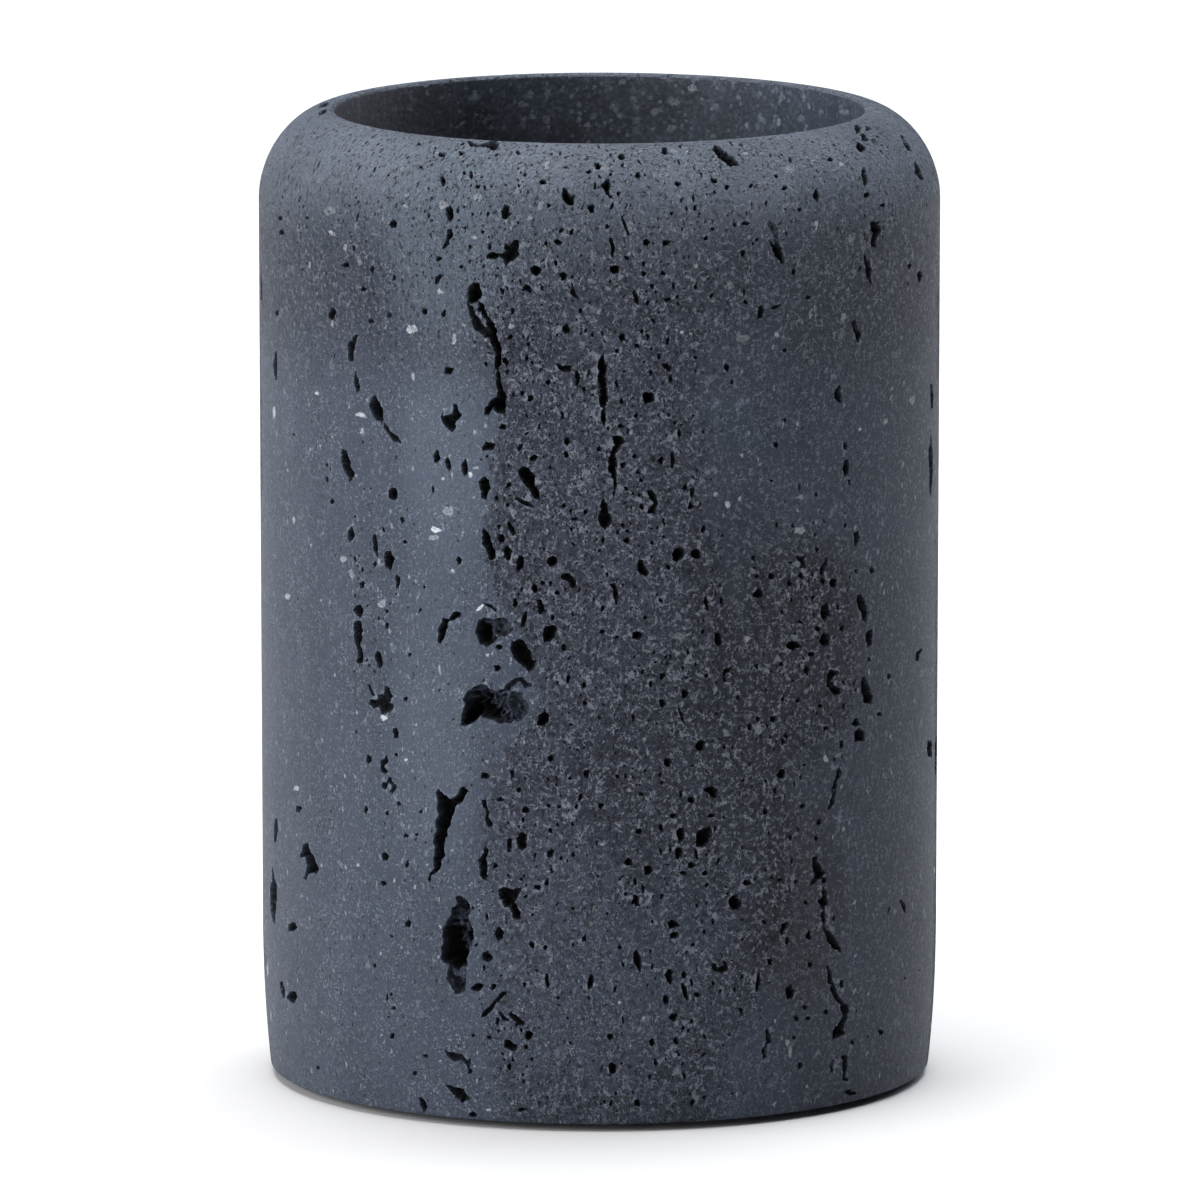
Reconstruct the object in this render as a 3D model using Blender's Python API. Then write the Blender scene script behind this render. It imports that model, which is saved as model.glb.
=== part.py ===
"""Toothbrush tumbler of dark porous stone, with an anti-slip pad seated in its base.

Metres, +Z up. The origin is the middle of the face that the pad rests on.
The front is towards -Y, and turns are counted from there towards +X.
"""
import math
import random

import bmesh
import bpy

# Stone body, outside
BODY_HEIGHT = 0.107
BODY_DIAMETER = 0.075  # at half the body's height
WALL_FLARE = 0.00024  # gain in radius from the base to the top
SHOULDER_DROP = 0.0098
BASE_CURVE_HEIGHT = 0.017
BASE_CURVE_INSET = 0.00085
BASE_EDGE_RADIUS = 0.0004

# Stone body, inside
WALL_THICKNESS = 0.0084  # at the mouth of the bore
LIP_RADIUS = 0.0005
BORE_TAPER = 0.0008  # loss in radius from the mouth to the floor
FLOOR_THICKNESS = 0.0095  # from the recess in the base to the floor of the bore
FLOOR_FILLET = 0.006

# Anti-slip pad, its adhesive film and the recess that holds them
BASE_LAND = 0.007  # width of stone left round the recess
PAD_THICKNESS = 0.002
PAD_PROUD = 0.0008  # how far the pad stands out of the base
PAD_EDGE_RADIUS = 0.0003
FILM_THICKNESS = 0.0003
FILM_MARGIN = 0.001  # how far the film stops short of the pad's rim
SEAT_GAP = 0.0003

# Curves of the profile: 2 is a quarter ellipse, and more is squarer
SHOULDER_FULLNESS = 1.86
BASE_CURVE_FULLNESS = 2.2

# Facets
TURN_STEPS = 72
WALL_BANDS = 8
BASE_CURVE_STEPS = 5
SHOULDER_STEPS = 12
LIP_STEPS = 4
FILLET_STEPS = 6
EDGE_STEPS = 2
PORE_SIDES = 10
PORE_OVERRUN = 0.0012  # how far a pore's cutter starts outside the wall
MERGE_DISTANCE = 0.00001  # joins the first and last rows of a turned shape, and its points on the axis

# Large pores of the stone. Each row places one: turn from the front, height on the body, then
# its width as a share of the diameter, its height as a share of the body's, its depth as a share
# of the wall, and its lean as a share of a turn, clockwise as seen from outside.
FRONT_PORE_SHARES = (
    (-0.055, 0.817, 0.021, 0.050, 0.26, 0.07),
    (-0.049, 0.765, 0.019, 0.062, 0.24, 0.01),
    (-0.105, 0.718, 0.024, 0.030, 0.22, -0.04),
    (-0.069, 0.716, 0.028, 0.027, 0.22, 0.02),
    (-0.122, 0.662, 0.020, 0.031, 0.20, 0.00),
    (-0.032, 0.654, 0.029, 0.036, 0.30, -0.03),
    (0.003, 0.725, 0.017, 0.060, 0.22, 0.00),
    (0.002, 0.648, 0.018, 0.076, 0.24, 0.01),
    (-0.048, 0.501, 0.052, 0.032, 0.34, 0.00),
    (-0.033, 0.476, 0.034, 0.036, 0.32, -0.02),
    (-0.046, 0.424, 0.112, 0.046, 0.44, 0.01),
    (-0.024, 0.428, 0.022, 0.022, 0.26, 0.00),
    (-0.104, 0.429, 0.036, 0.030, 0.20, 0.02),
    (-0.069, 0.322, 0.036, 0.030, 0.26, 0.02),
    (-0.072, 0.283, 0.019, 0.070, 0.36, 0.01),
    (-0.040, 0.226, 0.032, 0.026, 0.26, 0.03),
    (-0.065, 0.173, 0.046, 0.104, 0.50, -0.01),
    (-0.046, 0.118, 0.034, 0.022, 0.26, 0.10),
    (-0.145, 0.247, 0.024, 0.038, 0.22, -0.04),
    (0.045, 0.284, 0.023, 0.026, 0.26, 0.00),
    (0.038, 0.270, 0.017, 0.018, 0.22, 0.00),
    (0.096, 0.222, 0.017, 0.050, 0.24, -0.03),
    (0.101, 0.172, 0.020, 0.036, 0.26, -0.01),
    (0.107, 0.114, 0.020, 0.046, 0.26, -0.02),
    (0.080, 0.904, 0.016, 0.034, 0.22, -0.02),
    (0.133, 0.890, 0.020, 0.060, 0.28, 0.01),
    (0.036, 0.975, 0.034, 0.020, 0.20, -0.16),
    (0.121, 0.438, 0.020, 0.030, 0.22, 0.01),
)
BACK_PORE_SHARES = (
    (0.212, 0.640, 0.026, 0.070, 0.30, 0.01),
    (0.236, 0.330, 0.044, 0.050, 0.34, -0.02),
    (0.262, 0.790, 0.020, 0.034, 0.24, 0.00),
    (0.301, 0.520, 0.022, 0.060, 0.28, 0.03),
    (0.334, 0.215, 0.034, 0.080, 0.40, 0.00),
    (0.352, 0.700, 0.050, 0.034, 0.34, -0.02),
    (0.398, 0.450, 0.018, 0.078, 0.26, 0.01),
    (0.432, 0.835, 0.030, 0.036, 0.28, 0.02),
    (0.467, 0.300, 0.062, 0.044, 0.42, 0.01),
    (0.494, 0.610, 0.022, 0.084, 0.30, -0.01),
    (0.538, 0.155, 0.028, 0.050, 0.30, 0.00),
    (0.571, 0.760, 0.020, 0.060, 0.26, -0.03),
    (0.612, 0.480, 0.048, 0.052, 0.40, 0.02),
    (0.648, 0.270, 0.022, 0.048, 0.28, 0.00),
    (0.692, 0.660, 0.030, 0.040, 0.30, 0.01),
    (0.735, 0.400, 0.020, 0.070, 0.26, -0.01),
    (0.771, 0.820, 0.024, 0.034, 0.24, 0.02),
    (0.794, 0.190, 0.036, 0.060, 0.34, 0.00),
)
PORE_SEED = 11
PORE_WOBBLE_SHARE = 0.16  # how far a pore's outline strays from an ellipse
PORE_RING_SHARES = ((0.0, 1.0), (0.55, 0.86), (1.0, 0.45))  # depth reached, width left

# Heights above the origin
BASE_HEIGHT = PAD_PROUD
SHOULDER_HEIGHT = BODY_HEIGHT - SHOULDER_DROP
RECESS_DEPTH = PAD_THICKNESS - PAD_PROUD + FILM_THICKNESS + 2 * SEAT_GAP
FLOOR_HEIGHT = RECESS_DEPTH + FLOOR_THICKNESS


def clear_scene():
    """Remove whatever the file holds, so that the model stands alone."""
    for item in list(bpy.data.objects):
        bpy.data.objects.remove(item)


def material(name, colour, roughness):
    """Make a matt material of one colour."""
    made = bpy.data.materials.new(name)
    made.use_nodes = True
    shader = made.node_tree.nodes["Principled BSDF"]
    shader.inputs["Base Color"].default_value = (*colour, 1)
    shader.inputs["Roughness"].default_value = roughness
    shader.inputs["Metallic"].default_value = 0
    return made


def add_object(name, shape, finish=None):
    """Turn a bmesh into an object of the scene."""
    mesh = bpy.data.meshes.new(name)
    shape.to_mesh(mesh)
    shape.free()
    made = bpy.data.objects.new(name, mesh)
    bpy.context.collection.objects.link(made)
    if finish:
        mesh.materials.append(finish)
    return made


def shade_round(made, crease_degrees):
    """Shade smooth, with an edge left where faces meet at more than the crease."""
    made.data.shade_smooth()
    made.data.set_sharp_from_angle(angle=math.radians(crease_degrees))


def turned(profile):
    """Spin an outline of (radius, height) points that starts and ends on the axis."""
    shape = bmesh.new()
    points = [shape.verts.new((radius, 0, height)) for radius, height in profile]
    edges = [shape.edges.new(pair) for pair in zip(points, points[1:])]
    bmesh.ops.spin(
        shape,
        geom=points + edges,
        cent=(0, 0, 0),
        axis=(0, 0, 1),
        angle=math.tau,
        steps=TURN_STEPS,
    )
    bmesh.ops.remove_doubles(shape, verts=shape.verts, dist=MERGE_DISTANCE)
    bmesh.ops.recalc_face_normals(shape, faces=shape.faces)
    return shape


def quarter_turn(steps):
    """Angles from 0 to a right angle."""
    return [math.pi / 2 * step / steps for step in range(steps + 1)]


def wall_radius(height):
    """Outer radius of the wall at a height above the base, as if it had no shoulder."""
    radius = BODY_DIAMETER / 2 + WALL_FLARE * (height / BODY_HEIGHT - 1 / 2)
    curved = max(0, 1 - height / BASE_CURVE_HEIGHT)
    return radius - BASE_CURVE_INSET * curved**BASE_CURVE_FULLNESS


MOUTH_RADIUS = wall_radius(BODY_HEIGHT) - WALL_THICKNESS
CREST_RADIUS = MOUTH_RADIUS + LIP_RADIUS
SHOULDER_WIDTH = wall_radius(SHOULDER_HEIGHT) - CREST_RADIUS
PAD_RADIUS = wall_radius(0) - BASE_LAND
RECESS_RADIUS = PAD_RADIUS + SEAT_GAP


def outer_radius(height):
    """Outer radius at a height above the base, with the shoulder."""
    if height <= SHOULDER_HEIGHT:
        return wall_radius(height)
    climb = (height - SHOULDER_HEIGHT) / SHOULDER_DROP
    return CREST_RADIUS + SHOULDER_WIDTH * (1 - climb**SHOULDER_FULLNESS) ** (1 / SHOULDER_FULLNESS)


def base_profile():
    """Recess, underside and rounded base edge, from the axis outwards."""
    profile = [(0, RECESS_DEPTH), (RECESS_RADIUS, RECESS_DEPTH), (RECESS_RADIUS, 0)]
    edge_centre = wall_radius(BASE_EDGE_RADIUS) - BASE_EDGE_RADIUS
    for angle in quarter_turn(EDGE_STEPS):
        across = edge_centre + BASE_EDGE_RADIUS * math.sin(angle)
        profile.append((across, BASE_EDGE_RADIUS * (1 - math.cos(angle))))
    return profile


def wall_profile():
    """Outer wall, from above the base edge to the foot of the shoulder."""
    curve = BASE_CURVE_HEIGHT - BASE_EDGE_RADIUS
    heights = [BASE_EDGE_RADIUS + curve * step / BASE_CURVE_STEPS for step in range(1, BASE_CURVE_STEPS)]
    straight = SHOULDER_HEIGHT - BASE_CURVE_HEIGHT
    heights += [BASE_CURVE_HEIGHT + straight * band / WALL_BANDS for band in range(WALL_BANDS + 1)]
    return [(wall_radius(height), height) for height in heights]


def shoulder_profile():
    """Shoulder up to the crest, then the lip down into the mouth of the bore."""
    power = 2 / SHOULDER_FULLNESS
    profile = []
    for angle in quarter_turn(SHOULDER_STEPS)[1:]:
        out = max(0, math.cos(angle)) ** power
        up = math.sin(angle) ** power
        profile.append((CREST_RADIUS + SHOULDER_WIDTH * out, SHOULDER_HEIGHT + SHOULDER_DROP * up))
    for angle in quarter_turn(LIP_STEPS)[1:]:
        across = CREST_RADIUS - LIP_RADIUS * math.sin(angle)
        profile.append((across, BODY_HEIGHT - LIP_RADIUS * (1 - math.cos(angle))))
    return profile


def bore_profile():
    """Bore wall, floor fillet and floor, from the mouth down to the axis."""
    fillet_centre = MOUTH_RADIUS - BORE_TAPER - FLOOR_FILLET
    profile = []
    for angle in quarter_turn(FILLET_STEPS):
        across = fillet_centre + FLOOR_FILLET * math.cos(angle)
        profile.append((across, FLOOR_HEIGHT + FLOOR_FILLET * (1 - math.sin(angle))))
    return profile + [(0, FLOOR_HEIGHT)]


def pore_cutter(name, shares, dice):
    """One irregular, narrowing plug that cuts a pore square to the wall."""
    turn_share, height_share, wide_share, tall_share, deep_share, lean_share = shares
    angle = math.tau * turn_share
    height = BODY_HEIGHT * height_share
    depth = WALL_THICKNESS * deep_share
    below, above = outer_radius(height - SEAT_GAP), outer_radius(height + SEAT_GAP)
    slope = math.atan2(below - above, 2 * SEAT_GAP)
    phases = [dice.uniform(0, math.tau) for _ in range(3)]

    shape = bmesh.new()
    rings = []
    for reach_share, left_share in ((-PORE_OVERRUN / depth, 1), *PORE_RING_SHARES):
        ring = []
        for side in range(PORE_SIDES):
            around = math.tau * side / PORE_SIDES
            waves = [math.cos((wave + 2) * around + phase) for wave, phase in enumerate(phases)]
            spread = left_share * (1 + PORE_WOBBLE_SHARE * sum(waves))
            across = BODY_DIAMETER * wide_share / 2 * spread * math.cos(around)
            upward = BODY_HEIGHT * tall_share / 2 * spread * math.sin(around)
            lean = math.tau * lean_share
            across, upward = (
                across * math.cos(lean) + upward * math.sin(lean),
                upward * math.cos(lean) - across * math.sin(lean),
            )
            ring.append(shape.verts.new((across, depth * reach_share, upward)))
        rings.append(ring)
    for outer, inner in zip(rings, rings[1:]):
        for side in range(PORE_SIDES):
            after = (side + 1) % PORE_SIDES
            shape.faces.new((outer[side], outer[after], inner[after], inner[side]))
    shape.faces.new(rings[0])
    shape.faces.new(rings[-1])
    bmesh.ops.recalc_face_normals(shape, faces=shape.faces)

    cutter = add_object(name, shape)
    radius = outer_radius(height)
    cutter.location = (radius * math.sin(angle), -radius * math.cos(angle), BASE_HEIGHT + height)
    cutter.rotation_euler = (-slope, 0, angle)
    cutter.hide_render = True
    cutter.display_type = "WIRE"
    return cutter


def tumbler_body():
    """The stone cup: one turned piece with its large pores cut into the wall."""
    profile = base_profile() + wall_profile() + shoulder_profile() + bore_profile()
    raised = [(radius, BASE_HEIGHT + height) for radius, height in profile]
    stone = material("stone", (0.075, 0.085, 0.105), 0.85)
    body = add_object("tumbler_body", turned(raised), stone)
    shade_round(body, 40)
    dice = random.Random(PORE_SEED)
    for number, shares in enumerate(FRONT_PORE_SHARES + BACK_PORE_SHARES):
        cut = body.modifiers.new(f"pore_{number}", "BOOLEAN")
        cut.operation = "DIFFERENCE"
        cut.solver = "EXACT"
        cut.object = pore_cutter(f"pore_cutter_{number}", shares, dice)
    return body


def pad_adhesive():
    """The adhesive film that holds the pad in its recess."""
    radius = PAD_RADIUS - FILM_MARGIN
    bottom = PAD_THICKNESS + SEAT_GAP
    top = bottom + FILM_THICKNESS
    film = material("adhesive", (0.62, 0.58, 0.46), 0.45)
    made = add_object("pad_adhesive", turned([(0, bottom), (radius, bottom), (radius, top), (0, top)]), film)
    shade_round(made, 40)
    return made


def base_pad():
    """The anti-slip pad that the tumbler stands on, with its rim eased."""
    profile = [(0, 0)]
    inner = PAD_RADIUS - PAD_EDGE_RADIUS
    for angle in quarter_turn(EDGE_STEPS):
        across = inner + PAD_EDGE_RADIUS * math.sin(angle)
        profile.append((across, PAD_EDGE_RADIUS * (1 - math.cos(angle))))
    for angle in quarter_turn(EDGE_STEPS):
        across = inner + PAD_EDGE_RADIUS * math.cos(angle)
        profile.append((across, PAD_THICKNESS - PAD_EDGE_RADIUS * (1 - math.sin(angle))))
    profile.append((0, PAD_THICKNESS))
    foam = material("pad_foam", (0.028, 0.029, 0.031), 0.9)
    made = add_object("base_pad", turned(profile), foam)
    shade_round(made, 40)
    return made


clear_scene()
tumbler_body()
pad_adhesive()
base_pad()
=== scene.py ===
import math
import random

import bpy
import numpy as np
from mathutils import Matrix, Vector, noise
from mathutils.geometry import delaunay_2d_cdt


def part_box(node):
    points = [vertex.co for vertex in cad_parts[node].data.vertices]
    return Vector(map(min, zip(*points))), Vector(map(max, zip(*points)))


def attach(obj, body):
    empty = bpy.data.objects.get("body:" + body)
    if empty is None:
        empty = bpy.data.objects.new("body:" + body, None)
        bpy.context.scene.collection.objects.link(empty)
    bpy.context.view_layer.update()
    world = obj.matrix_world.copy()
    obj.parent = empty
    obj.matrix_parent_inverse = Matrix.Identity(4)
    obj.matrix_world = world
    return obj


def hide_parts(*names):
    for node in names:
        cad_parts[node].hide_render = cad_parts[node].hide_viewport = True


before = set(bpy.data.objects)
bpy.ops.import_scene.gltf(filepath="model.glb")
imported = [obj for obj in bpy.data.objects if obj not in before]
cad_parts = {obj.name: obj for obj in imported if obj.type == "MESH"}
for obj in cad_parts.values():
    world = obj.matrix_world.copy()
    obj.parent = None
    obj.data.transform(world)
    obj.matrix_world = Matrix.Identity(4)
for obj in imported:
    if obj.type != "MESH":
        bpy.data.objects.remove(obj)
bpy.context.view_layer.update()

SEED = 7  # of every chance choice below
noise.seed_set(SEED)  # noise_vector starts from the clock otherwise

MM = 0.001

# Stone body, with the part's own sizes
body_low, body_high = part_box("tumbler_body")
BASE_Z = body_low.z / MM
BODY_HEIGHT = (body_high.z - body_low.z) / MM
BODY_DIAMETER = 75.0
WALL_FLARE = 0.24
SHOULDER_DROP = 9.8
SHOULDER_FULLNESS = 1.86
BASE_CURVE_HEIGHT = 17.0
BASE_CURVE_INSET = 0.85
BASE_CURVE_FULLNESS = 2.2
BASE_EDGE_RADIUS = 0.4
WALL_THICKNESS = 8.4
LIP_RADIUS = 0.5
BORE_TAPER = 0.8
FLOOR_THICKNESS = 9.5
FLOOR_FILLET = 6.0
RECESS_DEPTH = 2.1
RECESS_LAND = 6.7
SHOULDER_Z = BODY_HEIGHT - SHOULDER_DROP
FLOOR_Z = RECESS_DEPTH + FLOOR_THICKNESS
DEEPEST_SHARE = 0.42  # of the wall, that any pore takes
DEEPEST = WALL_THICKNESS * DEEPEST_SHARE

# Camera, fitted to the outline in the photograph
PHOTO_PIXELS = 1200
SENSOR = 36.0
LENS = 466.5
CAMERA_DISTANCE = 1700.0
CAMERA_RISE = 331.9
CAMERA_PITCH = math.radians(9.35)
AXIS_PIXEL = 599.5
FOCAL_PIXELS = LENS / SENSOR * PHOTO_PIXELS
PIXEL_SIZE = CAMERA_DISTANCE / FOCAL_PIXELS  # of a pixel at the body's axis


def wall_radius(height):
    """Outer radius at a height above the base, as if the body had no shoulder."""
    radius = BODY_DIAMETER / 2 + WALL_FLARE * (height / BODY_HEIGHT - 1 / 2)
    curved = max(0, 1 - height / BASE_CURVE_HEIGHT)
    return radius - BASE_CURVE_INSET * curved**BASE_CURVE_FULLNESS


MOUTH_RADIUS = wall_radius(BODY_HEIGHT) - WALL_THICKNESS
CREST_RADIUS = MOUTH_RADIUS + LIP_RADIUS
RECESS_RADIUS = wall_radius(0) - RECESS_LAND
BORE_FOOT_Z = FLOOR_Z + FLOOR_FILLET


def quarter_turn(steps):
    """Angles from 0 to a right angle."""
    return [math.pi / 2 * step / steps for step in range(steps + 1)]


class Outline:
    """The body's section from the recess in its base, up the wall and down the bore to its foot."""

    FINE = 400

    def __init__(self):
        edge_centre = wall_radius(BASE_EDGE_RADIUS) - BASE_EDGE_RADIUS
        shoulder_width = wall_radius(SHOULDER_Z) - CREST_RADIUS
        power = 2 / SHOULDER_FULLNESS
        turn = quarter_turn(self.FINE)
        along = [step / self.FINE for step in range(self.FINE + 1)]
        climb = SHOULDER_Z - BASE_EDGE_RADIUS
        # each stretch: its points, and how many rows of the plain mesh it takes
        stretches = (
            ([(RECESS_RADIUS + (edge_centre - RECESS_RADIUS) * a, 0) for a in along], 6),
            ([(edge_centre + BASE_EDGE_RADIUS * math.sin(t), BASE_EDGE_RADIUS * (1 - math.cos(t)))
              for t in turn], 4),
            ([(wall_radius(BASE_EDGE_RADIUS + climb * a), BASE_EDGE_RADIUS + climb * a)
              for a in along], 60),
            ([(CREST_RADIUS + shoulder_width * max(0, math.cos(t))**power,
               SHOULDER_Z + SHOULDER_DROP * math.sin(t)**power) for t in turn], 24),
            ([(CREST_RADIUS - LIP_RADIUS * math.sin(t),
               BODY_HEIGHT - LIP_RADIUS * (1 - math.cos(t))) for t in turn], 5),
            ([(MOUTH_RADIUS - BORE_TAPER * a,
               BODY_HEIGHT - LIP_RADIUS - (BODY_HEIGHT - LIP_RADIUS - BORE_FOOT_Z) * a)
              for a in along], 20),
        )
        points, self.rows = [], []
        starts = []
        for stretch, rows in stretches:
            starts.append((len(points), rows))
            points += stretch[:-1]
        points.append(stretches[-1][0][-1])
        section = np.array(points)
        steps = np.hypot(*np.diff(section, axis=0).T)
        self.reach = np.concatenate([[0], np.cumsum(steps)])
        self.radius, self.height = section.T
        slope = np.gradient(section, self.reach, axis=0)
        self.out, self.up = slope[:, 1], -slope[:, 0]
        for (start, rows), (end, _) in zip(starts, starts[1:] + [(len(points) - 1, 0)]):
            low, high = self.reach[start], self.reach[end]
            self.rows += [low + (high - low) * row / rows for row in range(rows)]
        self.rows.append(self.reach[-1])
        self.wall_start = self.reach[starts[2][0]]
        self.crest = self.reach[starts[4][0]]
        self.lip_end = self.reach[starts[5][0]]
        self.outer = slice(starts[2][0], starts[4][0])
        self.bore = slice(starts[5][0], len(points))

    def at(self, values, reach):
        """A value of the section at a distance along it."""
        return np.interp(reach, self.reach, values)

    def nearest(self, radius, height, in_bore=False):
        """The distance along the section of its point nearest to a place on the body."""
        part = self.bore if in_bore else self.outer
        away = (self.radius[part] - radius)**2 + (self.height[part] - height)**2
        near = part.start + int(np.argmin(away))
        outward, upward = radius - self.radius[near], height - self.height[near]
        ahead = self.out[near] * upward - self.up[near] * outward
        return float(np.clip(self.reach[near] + ahead, 0, self.reach[-1]))


outline = Outline()
UNROLLED = BODY_DIAMETER / 2  # the unrolled wall measures turns along this radius
HALF_TURN = math.pi * UNROLLED


def sight_line(x, y):
    """Where the camera stands, and the direction it sees a pixel in, from the middle of the base."""
    right = (x - AXIS_PIXEL) / FOCAL_PIXELS
    up = (PHOTO_PIXELS / 2 - y) / FOCAL_PIXELS
    tilt, level = math.sin(CAMERA_PITCH), math.cos(CAMERA_PITCH)
    toward = np.array([right, level + up * tilt, up * level - tilt])
    return np.array([0, -CAMERA_DISTANCE, CAMERA_RISE]), toward / np.linalg.norm(toward)


SEARCH = 60.0  # how far before and behind the body's axis a line of sight is searched
SEARCH_STEPS = 400
HALVINGS = 18


def seen_place(x, y, in_bore=False):
    """The point of the unrolled body that a pixel shows, on the wall or far inside the bore."""
    eye, toward = sight_line(x, y)
    part = outline.bore if in_bore else outline.outer
    heights, radii = outline.height[part], outline.radius[part]
    if in_bore:
        heights, radii = heights[::-1], radii[::-1]

    def outside(far):
        spot = eye[:, None] + toward[:, None] * far
        return np.hypot(spot[0], spot[1]) > np.interp(spot[2], heights, radii, right=0)

    reach = np.linspace(CAMERA_DISTANCE - SEARCH, CAMERA_DISTANCE + SEARCH, SEARCH_STEPS + 1)
    if in_bore:
        reach = reach[SEARCH_STEPS // 2:][::-1]
    found = np.nonzero(~outside(reach))[0]
    if not len(found) or not found[0]:
        return None
    near, far = reach[found[0] - 1], reach[found[0]]
    for _ in range(HALVINGS):
        middle = (near + far) / 2
        near, far = (middle, far) if outside(np.array([middle]))[0] else (near, middle)
    spot = eye + toward * far
    turn = math.atan2(spot[0], -spot[1])
    return np.array([turn * UNROLLED, outline.nearest(math.hypot(spot[0], spot[1]), spot[2], in_bore)])


def inside_and_away(loop, points):
    """Whether each point is inside a closed loop, and how far it is from the loop."""
    after = np.roll(loop, -1, axis=0)
    span = after - loop
    offset = points[:, None] - loop
    share = np.clip((offset * span).sum(axis=2) / (span * span).sum(axis=1), 0, 1)
    away = np.linalg.norm(offset - share[..., None] * span, axis=2).min(axis=1)
    level = points[:, 1, None]
    crosses = (loop[:, 1] > level) != (after[:, 1] > level)
    rise = np.where(span[:, 1] == 0, 1, span[:, 1])
    crossing = loop[:, 0] + (level - loop[:, 1]) * span[:, 0] / rise
    inside = (crosses & (points[:, 0, None] < crossing)).sum(axis=1) % 2 == 1
    return inside, away


COARSE_JOG, FINE_JOG = (1.3, 2.5), (3.7, 7.5)  # lumps to a millimetre, and the noise's layer
FINE_JOG_SHARE = 0.7


def noise_spot(x, y, lumps):
    """Where a place of the unrolled body lies in a layer of noise."""
    fineness, layer = lumps
    return Vector((x * fineness, y * fineness, layer))


def jogged(points, reach):
    """Points shifted by a lumpy noise that depends on their place alone."""
    shifted = []
    for x, y in points:
        coarse = noise.noise_vector(noise_spot(x, y, COARSE_JOG))
        fine = noise.noise_vector(noise_spot(x, y, FINE_JOG))
        shifted.append((x + reach * (coarse.x + FINE_JOG_SHARE * fine.x),
                        y + reach * (coarse.y + FINE_JOG_SHARE * fine.y)))
    return np.array(shifted)


def ragged(corners, side, jag):
    """A closed loop through corners, counterclockwise, cut into short sides and jogged out of true."""
    corners = np.array(corners)
    after = np.roll(corners, -1, axis=0)
    if (corners[:, 0] * after[:, 1] - corners[:, 1] * after[:, 0]).sum() < 0:
        corners = corners[::-1]
        after = np.roll(corners, -1, axis=0)
    loop = []
    for here, there in zip(corners, after):
        pieces = max(1, round(float(np.linalg.norm(there - here)) / side))
        loop += [here + (there - here) * step / pieces for step in range(pieces)]
    return jogged(loop, jag)


def inward(loop):
    """The direction into a counterclockwise loop at each of its points."""
    along = np.roll(loop, -1, axis=0) - np.roll(loop, 1, axis=0)
    length = np.maximum(np.linalg.norm(along, axis=1), 0.01)
    return np.array([-along[:, 1], along[:, 0]]).T / length[:, None]


class Patch:
    """A ragged area of the unrolled body, with points of the mesh inside it."""

    RIM_STEP = 0.07  # how far inside the rim its first points lie
    BED_STEP = 0.22  # spacing of the points in its middle
    LOOSENESS = 0.3  # how far each of these strays, as a share of the spacing
    RING_MARGIN, BED_MARGIN = 0.6, 0.45  # how near the rim and the ring they may come, in steps
    NARROWEST = 0.1
    SEAM_MARGIN = 0.3

    def __init__(self, rim, dice, plain=False):
        self.rim = rim
        self.low, self.high = rim.min(axis=0), rim.max(axis=0)
        points = rim.mean(axis=0)[None]
        if not plain:
            points = np.concatenate([self.ring(), self.bed(dice), points])
        inside, away = inside_and_away(rim, points)
        self.inner = points[inside]
        self.narrow = 2 * away[inside].max() if inside.any() else self.NARROWEST

    def ring(self):
        """Points just inside the rim."""
        side = self.rim + inward(self.rim) * self.RIM_STEP
        inside, away = inside_and_away(self.rim, side)
        return side[inside & (away > self.RIM_STEP * self.RING_MARGIN)]

    def bed(self, dice):
        """Points spread over the middle."""
        loose = self.LOOSENESS * self.BED_STEP
        points = np.array([(x + dice.uniform(-loose, loose), y + dice.uniform(-loose, loose))
                           for x in np.arange(self.low[0], self.high[0], self.BED_STEP)
                           for y in np.arange(self.low[1], self.high[1], self.BED_STEP)])
        inside, away = inside_and_away(self.rim, points)
        return points[inside & (away > self.RIM_STEP + self.BED_STEP * self.BED_MARGIN)]

    def near(self, points, gap=0.0):
        """The numbers of the points that are in the box of the rim."""
        return np.nonzero(np.all((points > self.low - gap) & (points < self.high + gap), axis=1))[0]

    def is_clear_of_seam(self):
        return HALF_TURN - np.abs(self.rim[:, 0]).max() > self.SEAM_MARGIN


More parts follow.
